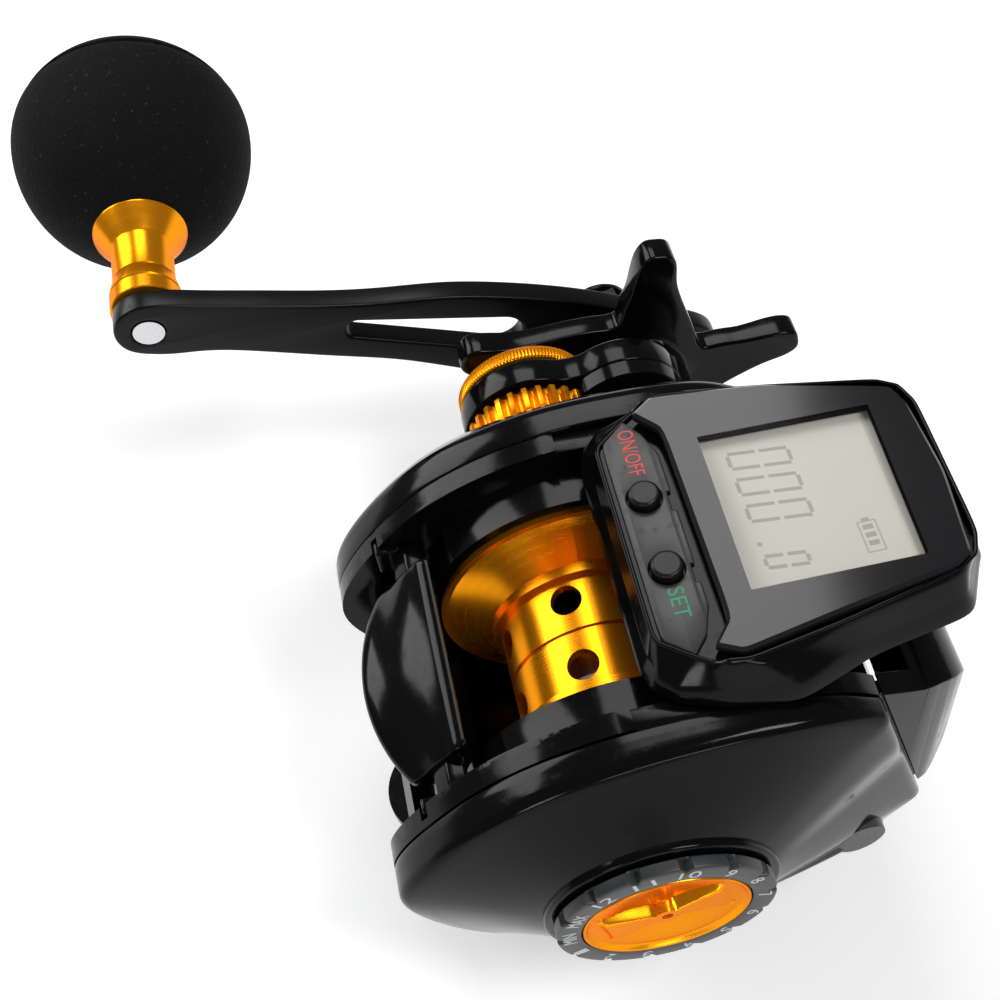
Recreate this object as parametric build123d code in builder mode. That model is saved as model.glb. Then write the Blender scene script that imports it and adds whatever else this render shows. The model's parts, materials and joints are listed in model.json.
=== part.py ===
"""Digital baitcasting reel with a left-hand crank, modelled piece by piece.

Frame: +X towards the palm side, +Y towards the rod tip, +Z up. The origin is the
centre of the flat underside of the reel foot. Lengths are in millimetres.
Places in the side view are given as (forward of, above) the spool axis.
"""
import os
from math import acos, asin, atan2, cos, degrees, hypot, pi, radians, sin

from build123d import *

# Main layout
spool_height = 22.5
drive_forward = 15.0
drive_drop = 9.7
worm_forward = 23.0
worm_drop = 1.0
fit = 0.05
gap = 0.3
overrun = 1.0

# Spool
spool_width = 24.0
flange_radius = 17.0
flange_rim = 0.8
core_radius = 10.5
core_half_width = 7.0
shoulder_step = 0.9
shoulder_width = 1.2
core_wall = 1.2
groove_depth = 0.3
groove_half_width = 0.35
web_half = 1.0
hub_radius = 3.6
hub_half_width = 4.0
core_hole_radius = 1.9
core_hole_place = 4.3
core_hole_count = 6
core_hole_turn = 103.8

# Spool shaft and its bearings
shaft_radius = 2.0
journal_radius = 1.5
bearing_radius = 5.0
bearing_width = 2.5
small_bearing_radius = 4.0
clutch_pin_radius = 0.5
clutch_pin_half = 2.6

# Frame
side_inner = 16.7
side_outer = 19.2
seam = 0.2
collar_start = 11.7
collar_gap = 0.4
collar_wall = 1.2
half_length = 33.0
half_height = 22.0
floor_drop = 19.2
floor_thickness = 1.6
counter_seat = 21.4
seat_front = 27.0
nose_top = (26.2, 15.4)
nose_foot = (34.1, -12.8)

# Gear train
gear_module = 0.496
main_teeth = 60
pinion_teeth = 12
worm_teeth = 24
main_gear_face = 21.6
main_gear_width = 2.4
worm_gear_face = 19.5
worm_gear_width = 1.6
addendum_share = 0.75
dedendum_share = 0.98
tip_width_share = 0.13
root_width_share = 0.25

# Gear side cover
cover_wall = 1.6
cover_band = 23.3
cover_face = 30.0
boss_end = 38.2
boss_plate_thickness = 4.0
knob_lobe_radius = 10.0
side_lobe_radius = 8.7
side_lobe_place = (12.0, 1.0)
drive_lobe_radius = 10.3

# Tension knob
tension_tube_radius = 5.6
tension_wheel_radius = 10.9
tension_tooth_depth = 1.0
tension_teeth = 30
tension_wheel_start = 33.2
tension_wheel_end = 37.4
tension_hub_radius = 7.0
tension_ring_radius = 8.24
tension_ring_start = 42.6
tension_ring_end = 45.6

# Drive shaft, drag and star
drive_radius = 2.4
drive_end = 64.4
sleeve_radius = 3.4
clutch_bearing_radius = 5.2
drag_radius = 11.0
washer_thickness = 0.6
drag_plate_thickness = 0.8
star_hub_radius = 9.2
star_disc_radius = 11.0
star_start = 43.0
star_disc_start = 49.0
star_disc_end = 52.8
star_reach = 25.6
star_arms = 5
star_phase = 4.8

# Handle
arm_inner = 59.2
arm_thickness = 3.4
knob_forward = -47.4
knob_rise = 10.8
arm_slot_start = 28.4
arm_slot_lift = 0.8
arm_slot_end = 49.5
arm_slot_small = 1.6
arm_slot_large = 3.2
nut_radius = 4.6
nut_height = 1.8
retainer_height = 0.6

# Knob
knob_pin_radius = 2.14
knob_shaft_radius = 1.9
knob_bearing_radius = 3.4
knob_bearing_width = 2.4
stem_start = 63.3
stem_ring_radius = 4.9
stem_ring_end = 65.8
stem_neck_radius = 4.3
stem_neck_start = 68.5
flare_start = 74.9
flare_radius = 6.6
flare_end = 78.7
flare_rim = 0.4
knob_sleeve_radius = 4.6
ball_radius = 17.36
ball_centre = 97.7
ball_near = 19.3
ball_far = 12.9
ball_blend = 3.9
lip_place = 105.2
lip_width = 0.7
lip_depth = 0.6
cap_radius = 7.2

# Thumb bar
thumb_half_width = 16.2
thumb_top_half_width = 12.4
thumb_shoulder = 11.2
thumb_travel = 3.0
thumb_lug_length = 1.5
thumb_front_top = (-16.9, 13.3)
thumb_front_low = (-18.8, 7.4)
thumb_rear = (-27.4, 7.0)
thumb_lug_place = (-21.5, 8.6)
thumb_lug_size = (3.0, 4.0)

# Clutch yoke
yoke_face = 25.0
yoke_thickness = 1.2
yoke_travel = 1.2
yoke_post_reach = 8.0
yoke_post_radius = 0.9
yoke_half_width = 2.9

# Level wind
worm_radius = 2.2
guide_half_width = 3.4
guide_travel = 8.0
guide_front = 28.3
guide_eye_rise = 9.6
guide_top_rise = 13.2
guide_rod_drop = 8.5
guide_rod_radius = 1.2

# Palm side cover and brake
palm_band = 23.6
turret_radius = 13.2
turret_base = 28.2
turret_face = 28.9
bulkhead_inner = 21.2
bulkhead_outer = 22.3
brake_room_end = 26.4
dial_radius = 12.0
dial_base = 29.2
dial_face = 30.8
dial_cap_radius = 9.37
dial_rim = 0.5
spindle_radius = 3.0
carrier_travel = 1.2
magnet_count = 10
magnet_radius = 0.7
lock_screw_place = (25.2, -11.8)
lock_screw_radius = 3.0

# Front cover
nose_reach = 38.9
nose_wall = 1.8
nose_lip_start = 30.6
nose_lap = 1.5

# Counter
glass_top = 28.0
glass_thickness = 1.1
glass_gap = 0.1
panel_top = 26.7
panel_under = 25.8
base_thickness = 1.0
counter_wall = 1.5
lcd_left = -9.7
lcd_right = 10.1
lcd_rear = 14.6
lcd_front = 32.8
lcd_margin = 1.2
lcd_base = 24.9
lcd_top = 26.6
board_base = 24.1
board_thickness = 0.5
cell_radius = 10.0
cell_thickness = 1.6
button_radius = 1.7
button_flange = 0.4
button_place = 4.6
button_forward = 7.25
button_top = 27.6
button_travel = 0.35

# Foot
foot_half_length = 29.0
foot_half_width = 6.75
foot_thickness = 2.4
foot_tip_thickness = 1.5
foot_flat_half = 19.0
foot_screw_places = (-15.0, -5.0, 5.0, 15.0)
screw_head_radius = 1.7
screw_shank_radius = 0.9
screw_length = 4.6

drive_centre = (drive_forward, -drive_drop)
worm_centre = (worm_forward, -worm_drop)
knob_centre = (knob_forward, knob_rise)
gear_distance = hypot(drive_forward, drive_drop)
worm_distance = hypot(worm_forward - drive_forward, drive_drop - worm_drop)
main_module = 2 * gear_distance / (main_teeth + pinion_teeth)
worm_module = 2 * worm_distance / (2 * worm_teeth)
main_radius = main_module * main_teeth / 2
pinion_radius = main_module * pinion_teeth / 2
worm_gear_radius = worm_module * worm_teeth / 2
main_tip = main_radius + addendum_share * main_module
lobe_radius = main_tip + gap + cover_wall + fit
collar_inner = flange_radius + collar_gap
collar_outer = collar_inner + collar_wall
core_inner = core_radius - core_wall
handle_angle = degrees(atan2(knob_rise + drive_drop, knob_forward - drive_forward))
handle_length = hypot(knob_rise + drive_drop, knob_forward - drive_forward)

os.makedirs("parts", exist_ok=True)


def save(piece, name):
    """Label one finished piece and write its file."""
    piece.part.label = name
    export_step(piece.part, f"parts/{name}.step")


def across(x):
    """Side-view plane at x: local axes are forward and up from the spool axis."""
    return Plane(origin=(x, 0, spool_height), x_dir=(0, 1, 0), z_dir=(1, 0, 0))


def level(rise):
    """Plan-view plane at a height above the spool axis."""
    return Plane(origin=(0, 0, spool_height + rise))


def turn(points, centre=(0, 0), mode=Mode.ADD):
    """Turn a closed (x, radius) profile about an axis along X through centre."""
    forward, rise = centre
    origin = (0, forward, spool_height + rise)
    with BuildSketch(Plane(origin=origin, x_dir=(1, 0, 0), z_dir=(0, -1, 0))) as profile:
        with BuildLine():
            Polyline(*points, close=True)
        make_face()
    revolve(profile.sketch, axis=Axis(origin, (1, 0, 0)), mode=mode)


def tube(start, end, outer, inner=0, centre=(0, 0), mode=Mode.ADD):
    """A plain ring or disc between two places on X."""
    turn([(start, inner), (end, inner), (end, outer), (start, outer)], centre, mode)


def slab(start, end, mode=Mode.ADD):
    """Extrude the sketch drawn on across(start) as far as end."""
    extrude(amount=end - start, mode=mode)


def on_circle(centre, radius, angle):
    """Point at an angle, in degrees from forward, about a side-view centre."""
    return (centre[0] + radius * cos(radians(angle)), centre[1] + radius * sin(radians(angle)))


def gear_points(teeth, module):
    """Corner points of a straight-flanked gear, first tooth centred on the local x axis."""
    pitch = 2 * pi / teeth
    radius = module * teeth / 2
    tip = radius + addendum_share * module
    root = radius - dedendum_share * module
    points = []
    for tooth in range(teeth):
        middle = tooth * pitch
        for side, reach in ((-root_width_share, root), (-tip_width_share, tip),
                            (tip_width_share, tip), (root_width_share, root)):
            angle = middle + side * pitch
            points.append((reach * cos(angle), reach * sin(angle)))
    return points


def draw_gear(teeth, module, turned):
    """Draw a gear outline in the open sketch, turned by an angle in degrees."""
    with BuildLine(mode=Mode.PRIVATE) as outline:
        Polyline(*gear_points(teeth, module), close=True)
    add(make_face(outline.line, mode=Mode.PRIVATE).rotate(Axis.Z, turned))


# Side outlines: shares of half_length and half_height, from the nose over the top
upper_shares = [(0.606, 0.90), (0.303, 0.995), (0, 1), (-0.282, 0.91),
                (-0.50, 0.745), (-0.66, 0.53), (-0.80, 0.265)]
gear_rear_shares = [(-0.876, -0.045), (-0.806, -0.386), (-0.606, -0.68), (-0.33, -0.86)]
palm_rear_shares = [(-0.838, 0.10), (-0.810, -0.09), (-0.73, -0.32), (-0.59, -0.54), (-0.42, -0.70),
                    (-0.12, -0.83), (0.20, -0.87), (0.65, -0.80), (0.93, -0.70)]
lobe_angles = (-135, -105, -75, -45)
lobe_slack = 0.5


def scaled(shares):
    return [(share_y * half_length, share_z * half_height) for share_y, share_z in shares]


def gear_outline():
    """Points of the gear side outline, with the round lobe that holds the main gear."""
    lobe = [on_circle(drive_centre, lobe_radius + lobe_slack, angle) for angle in lobe_angles]
    return [nose_top] + scaled(upper_shares) + scaled(gear_rear_shares) + lobe + [nose_foot]


def palm_outline():
    """Points of the palm side outline."""
    return [nose_top] + scaled(upper_shares) + scaled(palm_rear_shares) + [nose_foot]


def draw_outline(points):
    """Draw a side outline: one smooth curve closed by the straight front seam."""
    with BuildLine(mode=Mode.PRIVATE) as edge:
        curve = Spline(*points)
        Line(curve @ 1, curve @ 0)
    add(make_face(edge.line, mode=Mode.PRIVATE))


def inset(points, amount):
    """The outline moved inwards, square to the line between each point's neighbours."""
    moved = []
    for index, (forward, rise) in enumerate(points):
        before = points[index - 1]
        after = points[(index + 1) % len(points)]
        run = after[0] - before[0]
        climb = after[1] - before[1]
        share = amount / hypot(run, climb)
        moved.append((forward - share * climb, rise + share * run))
    return moved


def drawn_in(points, rear, top, front, bottom):
    """The outline pulled in towards the middle, by its own amount on each side."""
    pulled = []
    for forward, rise in points:
        share_y = forward / half_length
        share_z = rise / half_height
        move_y = -front * max(share_y, 0) + rear * max(-share_y, 0)
        move_z = -top * max(share_z, 0) + bottom * max(-share_z, 0)
        pulled.append((forward + move_y, rise + move_z))
    return pulled


# Frame: two side plates, spool collars, rear deck, floor and front wall in one casting
deck_points = [(-16.0, -8.6), (-20.5, -4.2), (-24.8, -3.6), (-25.8, -6.8), (-22.6, -12.4),
               (-14.5, -floor_drop), (-14.5, -floor_drop + floor_thickness), (-21.1, -11.3),
               (-23.9, -6.7), (-23.5, -5.5), (-21.0, -6.0), (-17.2, -10.0)]
front_wall_points = [(27.0, -floor_drop), (31.0, -17.6), (33.9, -13.6), (31.4, -5.6),
                     (29.6, -5.6), (29.9, -16.2), (27.0, -floor_drop + floor_thickness)]
boss_half_width = 6.0
boss_half_length = 20.0
pinion_bearing_radius = 5.5

with BuildPart() as frame:
    with BuildSketch(across(-side_outer)):
        draw_outline(gear_outline())
    slab(-side_outer, -side_inner)
    with BuildSketch(across(side_inner)):
        draw_outline(palm_outline())
    slab(side_inner, side_outer)
    tube(-side_inner, -collar_start, collar_outer)
    tube(side_inner, collar_start, collar_outer)
    for outline in (deck_points, front_wall_points):
        with BuildSketch(across(-side_inner)):
            Polygon(*outline, align=None)
        slab(-side_inner, side_inner)
    with BuildSketch(across(-side_inner)):
        floor_points = [(-14.5, -floor_drop), (27.0, -floor_drop),
                        (27.0, -floor_drop + floor_thickness), (-14.5, -floor_drop + floor_thickness)]
        Polygon(*floor_points, align=None)
    slab(-side_inner, side_inner)
    with BuildSketch(Plane.XY.offset(foot_thickness)):
        Rectangle(2 * boss_half_width, 2 * boss_half_length)
    extrude(amount=spool_height - floor_drop - foot_thickness)
    tube(-side_inner, side_outer + overrun, collar_inner, mode=Mode.SUBTRACT)
    tube(-side_outer - overrun, -side_inner + overrun, pinion_bearing_radius, mode=Mode.SUBTRACT)
    tube(-side_outer - overrun, -side_inner + overrun, drive_radius + fit, centre=drive_centre,
         mode=Mode.SUBTRACT)
    tube(-side_outer - overrun, side_outer - cover_wall / 2, worm_radius + fit, centre=worm_centre,
         mode=Mode.SUBTRACT)
    rod_centre = (worm_forward, -worm_drop - guide_rod_drop)
    rod_seat = (side_outer + side_inner) / 2
    tube(-rod_seat, rod_seat, guide_rod_radius, centre=rod_centre, mode=Mode.SUBTRACT)
    with BuildSketch(across(-side_outer - overrun)):
        with Locations((thumb_lug_place[0], thumb_lug_place[1] - thumb_travel / 2)):
            Rectangle(thumb_lug_size[0] + 2 * gap, thumb_lug_size[1] + thumb_travel + 2 * gap)
    slab(-side_outer - overrun, side_outer + overrun, mode=Mode.SUBTRACT)
    with BuildSketch(level(counter_seat)):
        with Locations((0, seat_front / 2)):
            Rectangle(4 * side_outer, seat_front)
    extrude(amount=half_height, mode=Mode.SUBTRACT)
    with Locations(*[Location((0, place, 0)) for place in foot_screw_places]):
        Cylinder(screw_shank_radius, screw_length, align=(Align.CENTER, Align.CENTER, Align.MIN),
                 mode=Mode.SUBTRACT)
    post_places = [on_circle((0, 0), yoke_post_reach, handle_turn + degrees(atan2(-drive_drop, drive_forward)))
                   for handle_turn in (90, -90)]
    for post in post_places:
        tube(-cover_face + cover_wall + gap, -side_inner, yoke_post_radius, centre=post)
save(frame, "frame")

# Reel foot with a flat underside and thin tips
with BuildPart() as reel_foot:
    with BuildSketch(Plane.XY):
        SlotOverall(2 * foot_half_length, 2 * foot_half_width, rotation=90)
    extrude(amount=foot_thickness)
    with BuildSketch(Plane.YZ.offset(-foot_half_width)):
        for side in (-1, 1):
            Polygon((side * foot_flat_half, foot_thickness), (side * foot_half_length, foot_tip_thickness),
                    (side * (foot_half_length + overrun), foot_thickness + overrun),
                    (side * foot_flat_half, foot_thickness + overrun), align=None)
    extrude(amount=2 * foot_half_width, mode=Mode.SUBTRACT)
    with Locations(*[Location((0, place, 0), (180, 0, 0)) for place in foot_screw_places]):
        CounterSinkHole(screw_shank_radius, screw_head_radius, foot_thickness)
save(reel_foot, "reel_foot")

with BuildPart() as foot_screws:
    head_depth = screw_head_radius - screw_shank_radius
    for place in foot_screw_places:
        with BuildSketch(Plane.XZ.offset(-place)):
            Polygon((0, 0), (screw_head_radius - fit, 0), (screw_shank_radius, head_depth - fit),
                    (screw_shank_radius, screw_length - gap), (0, screw_length - gap), align=None)
        revolve(axis=Axis((0, place, 0), (0, 0, 1)))
save(foot_screws, "foot_screws")

# Gear side cover: rim band, sloping dome, and the boss for the drag and the tension knob
gear_dome = drawn_in(gear_outline(), rear=6.5, top=8.4, front=3.0, bottom=2.2)


def draw_lobes(lobes):
    for centre, radius in lobes:
        with Locations(centre):
            Circle(radius)


drive_lobes = [(side_lobe_place, side_lobe_radius), (drive_centre, drive_lobe_radius)]
cover_screw_places = [(-18.0, -6.0), (-12.0, 6.0), (20.0, 9.0)]
cover_screw_radius = 0.8
tension_pocket = tension_wheel_radius + gap

with BuildPart() as gear_side_cover:
    with BuildSketch(across(-side_outer - seam)):
        draw_outline(gear_outline())
    slab(-side_outer - seam, -cover_band)
    with BuildSketch(across(-cover_band)):
        draw_outline(gear_outline())
    with BuildSketch(across(-cover_face)):
        draw_outline(gear_dome)
    loft(ruled=True)
    with BuildSketch(across(-cover_face)):
        draw_lobes(drive_lobes)
    slab(-cover_face, -boss_end)
    with BuildSketch(across(-side_outer)):
        draw_outline(inset(gear_outline(), cover_wall))
    slab(-side_outer, -cover_band + gap, mode=Mode.SUBTRACT)
    tube(-side_outer, -main_gear_face - main_gear_width - gap, main_tip + gap, centre=drive_centre,
         mode=Mode.SUBTRACT)
    tube(-side_outer, -worm_gear_face - worm_gear_width - gap, worm_gear_radius + worm_module + gap,
         centre=worm_centre, mode=Mode.SUBTRACT)
    with BuildSketch(across(-side_outer)):
        draw_outline(inset(gear_dome, cover_wall))
    slab(-side_outer, -cover_face + cover_wall, mode=Mode.SUBTRACT)
    tube(-tension_wheel_start + gap, -boss_end - overrun, tension_pocket, mode=Mode.SUBTRACT)
    tube(-cover_face + cover_wall / 2, -boss_end - gap, tension_tube_radius)
    tube(-cover_face, -boss_end - overrun, small_bearing_radius, mode=Mode.SUBTRACT)
    tube(-cover_face + overrun + cover_wall, -cover_face - overrun, journal_radius + gap, mode=Mode.SUBTRACT)
    tube(-cover_face, -boss_end - overrun, clutch_bearing_radius, centre=drive_centre, mode=Mode.SUBTRACT)
    tube(-cover_face + overrun + cover_wall, -boss_end, sleeve_radius + gap, centre=drive_centre,
         mode=Mode.SUBTRACT)
    for place in cover_screw_places:
        tube(-side_outer - seam, -cover_face + cover_wall / 2, 2 * cover_screw_radius, centre=place)
        tube(-side_outer + overrun, -cover_face - overrun, cover_screw_radius, centre=place,
             mode=Mode.SUBTRACT)
        tube(-cover_face + cover_screw_radius, -cover_face - overrun, 2 * cover_screw_radius,
             centre=place, mode=Mode.SUBTRACT)
save(gear_side_cover, "gear_side_cover")

with BuildPart() as gear_cover_screws:
    for place in cover_screw_places:
        tube(-side_outer - seam - gap, -cover_face + cover_screw_radius, cover_screw_radius, centre=place)
        tube(-cover_face + cover_screw_radius, -cover_face, 2 * cover_screw_radius - fit, centre=place)
save(gear_cover_screws, "gear_cover_screws")

# Lobed plate that bridges the tension knob and the drive boss
plate_face = boss_end + boss_plate_thickness
sleeve_back = plate_face - overrun
spring_radius = 5.0
plate_screw_places = [on_circle(side_lobe_place, side_lobe_radius - 2 * screw_shank_radius, 35),
                      on_circle(drive_centre, drive_lobe_radius - 2 * screw_shank_radius, -60)]
with BuildPart() as boss_plate:
    with BuildSketch(across(-boss_end)):
        draw_lobes([((0, 0), knob_lobe_radius)] + drive_lobes)
    slab(-boss_end, -plate_face)
    chamfer(boss_plate.faces().sort_by(Axis.X)[0].edges(), length=cover_screw_radius / 2)
    tube(-boss_end + overrun, -plate_face - overrun, tension_hub_radius + gap, mode=Mode.SUBTRACT)
    tube(-boss_end + overrun, -plate_face - overrun, sleeve_radius + gap, centre=drive_centre,
         mode=Mode.SUBTRACT)
    tube(-sleeve_back + gap, -plate_face - overrun, spring_radius + gap, centre=drive_centre,
         mode=Mode.SUBTRACT)
    for place in plate_screw_places:
        tube(-boss_end + overrun, -plate_face - overrun, cover_screw_radius, centre=place,
             mode=Mode.SUBTRACT)
save(boss_plate, "boss_plate")

with BuildPart() as boss_plate_screws:
    for place in plate_screw_places:
        tube(-boss_end, -plate_face, cover_screw_radius - fit, centre=place)
        tube(-plate_face, -plate_face - cover_screw_radius / 2, 2 * cover_screw_radius, centre=place)
save(boss_plate_screws, "boss_plate_screws")

# Spool: thin core with holes, cone faced flanges, centre web and hub
half = spool_width / 2
cone_foot = core_half_width + shoulder_width
cone_foot_radius = core_radius + shoulder_step
rim_inner_radius = flange_radius - flange_rim
groove_floor = core_radius - groove_depth
spool_half = [(0, groove_floor), (groove_half_width, groove_floor), (groove_half_width, core_radius),
              (core_half_width, core_radius), (core_half_width, cone_foot_radius),
              (cone_foot, cone_foot_radius), (half - flange_rim, rim_inner_radius),
              (half - flange_rim, flange_radius), (half, flange_radius), (half, rim_inner_radius),
              (half - flange_rim - core_wall, core_inner), (web_half, core_inner),
              (web_half, hub_radius), (hub_half_width, hub_radius), (hub_half_width, shaft_radius)]
spool_profile = spool_half + [(-x, r) for x, r in reversed(spool_half)][:-1]
with BuildPart() as spool:
    turn(spool_profile)
    for side in (-1, 1):
        for index in range(core_hole_count):
            angle = core_hole_turn + index * 360 / core_hole_count
            origin = (side * core_hole_place, 0, spool_height)
            outward = (0, cos(radians(angle)), sin(radians(angle)))
            with BuildSketch(Plane(origin=origin, x_dir=(1, 0, 0), z_dir=outward)):
                Circle(core_hole_radius)
            extrude(amount=core_radius + overrun, mode=Mode.SUBTRACT)
    for side in (-1, 1):
        tube(0, side * hub_half_width, hub_radius)
    tube(-half, half, shaft_radius, mode=Mode.SUBTRACT)
save(spool, "spool")

shaft_palm_end = bulkhead_inner
shaft_gear_end = tension_wheel_end + gap
clutch_pin_depth = 3.0
clutch_pin_place = side_inner - clutch_pin_depth
with BuildPart() as spool_shaft:
    turn([(-shaft_gear_end, 0), (shaft_palm_end, 0), (shaft_palm_end, journal_radius),
          (side_inner, journal_radius), (side_inner, shaft_radius), (-collar_start, shaft_radius),
          (-collar_start, journal_radius), (-shaft_gear_end, journal_radius)])
    with BuildSketch(Plane(origin=(-clutch_pin_place, 0, spool_height), z_dir=(0, 1, 0))):
        Circle(clutch_pin_radius)
    extrude(amount=2 * journal_radius, both=True, mode=Mode.SUBTRACT)
save(spool_shaft, "spool_shaft")

with BuildPart() as clutch_pin:
    with BuildSketch(Plane(origin=(-clutch_pin_place, 0, spool_height), z_dir=(0, 1, 0))):
        Circle(clutch_pin_radius)
    extrude(amount=clutch_pin_half, both=True)
save(clutch_pin, "clutch_pin")

palm_bearing_start = bulkhead_inner - bearing_width
with BuildPart() as palm_bearing:
    tube(palm_bearing_start, bulkhead_inner, bearing_radius, journal_radius + fit)
save(palm_bearing, "palm_bearing")

with BuildPart() as gear_bearing:
    tube(-cover_face, -cover_face - bearing_width, small_bearing_radius, journal_radius + fit)
save(gear_bearing, "gear_bearing")

# Brake rotor on the spool, and the magnet that the counter senses
rotor_height = 2.6
rotor_radius = hub_radius + rotor_height
rotor_wall = 0.6
with BuildPart() as brake_rotor:
    tube(web_half, half - 3 * flange_rim, rotor_radius, rotor_radius - rotor_wall)
save(brake_rotor, "brake_rotor")

sensor_radius = 1.25
sensor_thickness = 1.5
with BuildPart() as sensor_magnets:
    for angle in (0, 180):
        tube(-web_half, -web_half - sensor_thickness, sensor_radius,
             centre=on_circle((0, 0), (hub_radius + core_inner) / 2, angle))
save(sensor_magnets, "sensor_magnets")

# Pinion: toothed sleeve on the spool shaft, slotted for the clutch pin, necked for the yoke
pinion_bore = journal_radius + 2 * fit
pinion_start = clutch_pin_place - clutch_pin_radius - fit
pinion_journal = pinion_radius + addendum_share * main_module
tooth_turn = degrees(atan2(-drive_drop, drive_forward))
pinion_tooth_start = main_gear_face - gap - yoke_travel
pinion_tooth_end = yoke_face - fit
pinion_tail = yoke_face + yoke_thickness + fit
with BuildPart() as pinion_gear:
    tube(-pinion_start, -pinion_tooth_start, pinion_journal)
    with BuildSketch(across(-pinion_tooth_start)):
        draw_gear(pinion_teeth, main_module, tooth_turn + 180 / pinion_teeth)
    slab(-pinion_tooth_start, -pinion_tooth_end)
    tube(-pinion_tooth_end, -pinion_tail, pinion_journal - 2 * rotor_wall)
    tube(-pinion_tail, -pinion_tail - rotor_wall, pinion_journal)
    tube(-pinion_start + overrun, -pinion_tail - overrun, pinion_bore, mode=Mode.SUBTRACT)
    with BuildSketch(across(-pinion_start + overrun)):
        Rectangle(4 * clutch_pin_half, 2 * clutch_pin_radius + 2 * fit)
    slab(-pinion_start + overrun, -clutch_pin_place - clutch_pin_radius - 2 * fit, mode=Mode.SUBTRACT)
save(pinion_gear, "pinion_gear")

with BuildPart() as pinion_bearing:
    tube(-side_inner, -side_outer, pinion_bearing_radius, pinion_journal + fit)
save(pinion_bearing, "pinion_bearing")

# Clutch yoke: a flat fork that rides on two posts and moves the pinion
with BuildPart() as clutch_yoke:
    with BuildSketch(across(-yoke_face)) as fork:
        SlotCenterToCenter(2 * yoke_post_reach, 2 * yoke_half_width, rotation=tooth_turn + 90)
        Circle(pinion_journal + rotor_wall)
        Circle(pinion_journal - 2 * rotor_wall + gap, mode=Mode.SUBTRACT)
        for post in post_places:
            with Locations(post):
                Circle(yoke_post_radius + fit, mode=Mode.SUBTRACT)
    slab(-yoke_face, -yoke_face - yoke_thickness)
save(clutch_yoke, "clutch_yoke")

# Tension knob: toothed wheel, hub and knurled ring, with a shim inside
tension_root = tension_wheel_radius - tension_tooth_depth
with BuildPart() as tension_wheel:
    with BuildSketch(across(-tension_wheel_start - rotor_wall)):
        Circle(tension_root)
        with PolarLocations(tension_root, tension_teeth):
            Rectangle(2 * tension_tooth_depth, pi * tension_root / tension_teeth)
    slab(-tension_wheel_start - rotor_wall, -tension_wheel_end)
    tube(-tension_wheel_start, -tension_wheel_start - rotor_wall, tension_wheel_radius)
    tube(-tension_wheel_end, -tension_ring_start, tension_hub_radius)
    tube(-tension_wheel_start + overrun, -boss_end - 2 * gap, tension_tube_radius + fit, mode=Mode.SUBTRACT)
save(tension_wheel, "tension_wheel")

knurl_count = 60
knurl_radius = 0.16
with BuildPart() as tension_ring:
    with BuildSketch(across(-tension_ring_start)):
        Circle(tension_ring_radius)
        with PolarLocations(tension_ring_radius, knurl_count):
            Circle(knurl_radius, mode=Mode.SUBTRACT)
    slab(-tension_ring_start, -tension_ring_end)
    tube(-tension_ring_end + rotor_wall, -tension_ring_end - overrun, tension_hub_radius - rotor_wall,
         mode=Mode.SUBTRACT)
save(tension_ring, "tension_ring")

with BuildPart() as tension_shim:
    tube(-shaft_gear_end - fit, -boss_end - 2 * gap, small_bearing_radius - gap)
save(tension_shim, "tension_shim")

# Drive shaft, main gear and drag stack
drive_start = side_inner + gap
with BuildPart() as drive_shaft:
    tube(-drive_start, -drive_end, drive_radius, centre=drive_centre)
save(drive_shaft, "drive_shaft")

with BuildPart() as shaft_gear:
    with BuildSketch(across(-worm_gear_face)):
        with Locations(drive_centre):
            draw_gear(worm_teeth, worm_module, degrees(atan2(drive_drop - worm_drop, worm_forward - drive_forward)))
            Circle(drive_radius, mode=Mode.SUBTRACT)
    slab(-worm_gear_face, -worm_gear_face - worm_gear_width)
save(shaft_gear, "shaft_gear")

gear_back = main_gear_face + main_gear_width
with BuildPart() as main_gear:
    with BuildSketch(across(-main_gear_face)):
        with Locations(drive_centre):
            draw_gear(main_teeth, main_module, tooth_turn)
            Circle(drive_radius, mode=Mode.SUBTRACT)
    slab(-main_gear_face, -gear_back)
save(main_gear, "main_gear")

washer_back = gear_back + washer_thickness
plate_back = washer_back + drag_plate_thickness
with BuildPart() as drag_washer:
    tube(-gear_back, -washer_back, drag_radius, drive_radius + overrun, centre=drive_centre)
save(drag_washer, "drag_washer")

with BuildPart() as drag_plate:
    tube(-washer_back, -plate_back, drag_radius, drive_radius, centre=drive_centre)
save(drag_plate, "drag_plate")

with BuildPart() as clutch_sleeve:
    tube(-plate_back, -sleeve_back, sleeve_radius, drive_radius, centre=drive_centre)
save(clutch_sleeve, "clutch_sleeve")

with BuildPart() as one_way_bearing:
    tube(-cover_face, -boss_end, clutch_bearing_radius, sleeve_radius + fit, centre=drive_centre)
save(one_way_bearing, "one_way_bearing")

with BuildPart() as drag_springs:
    for index in range(2):
        start = sleeve_back + index * overrun
        lean = overrun / 2 if index else 0
        edge = overrun / 2 - lean
        turn([(-start - lean, drive_radius + fit), (-start - edge, spring_radius),
              (-start - edge - overrun / 2, spring_radius), (-start - lean - overrun / 2, drive_radius + fit)],
             centre=drive_centre)
save(drag_springs, "drag_springs")

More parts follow.
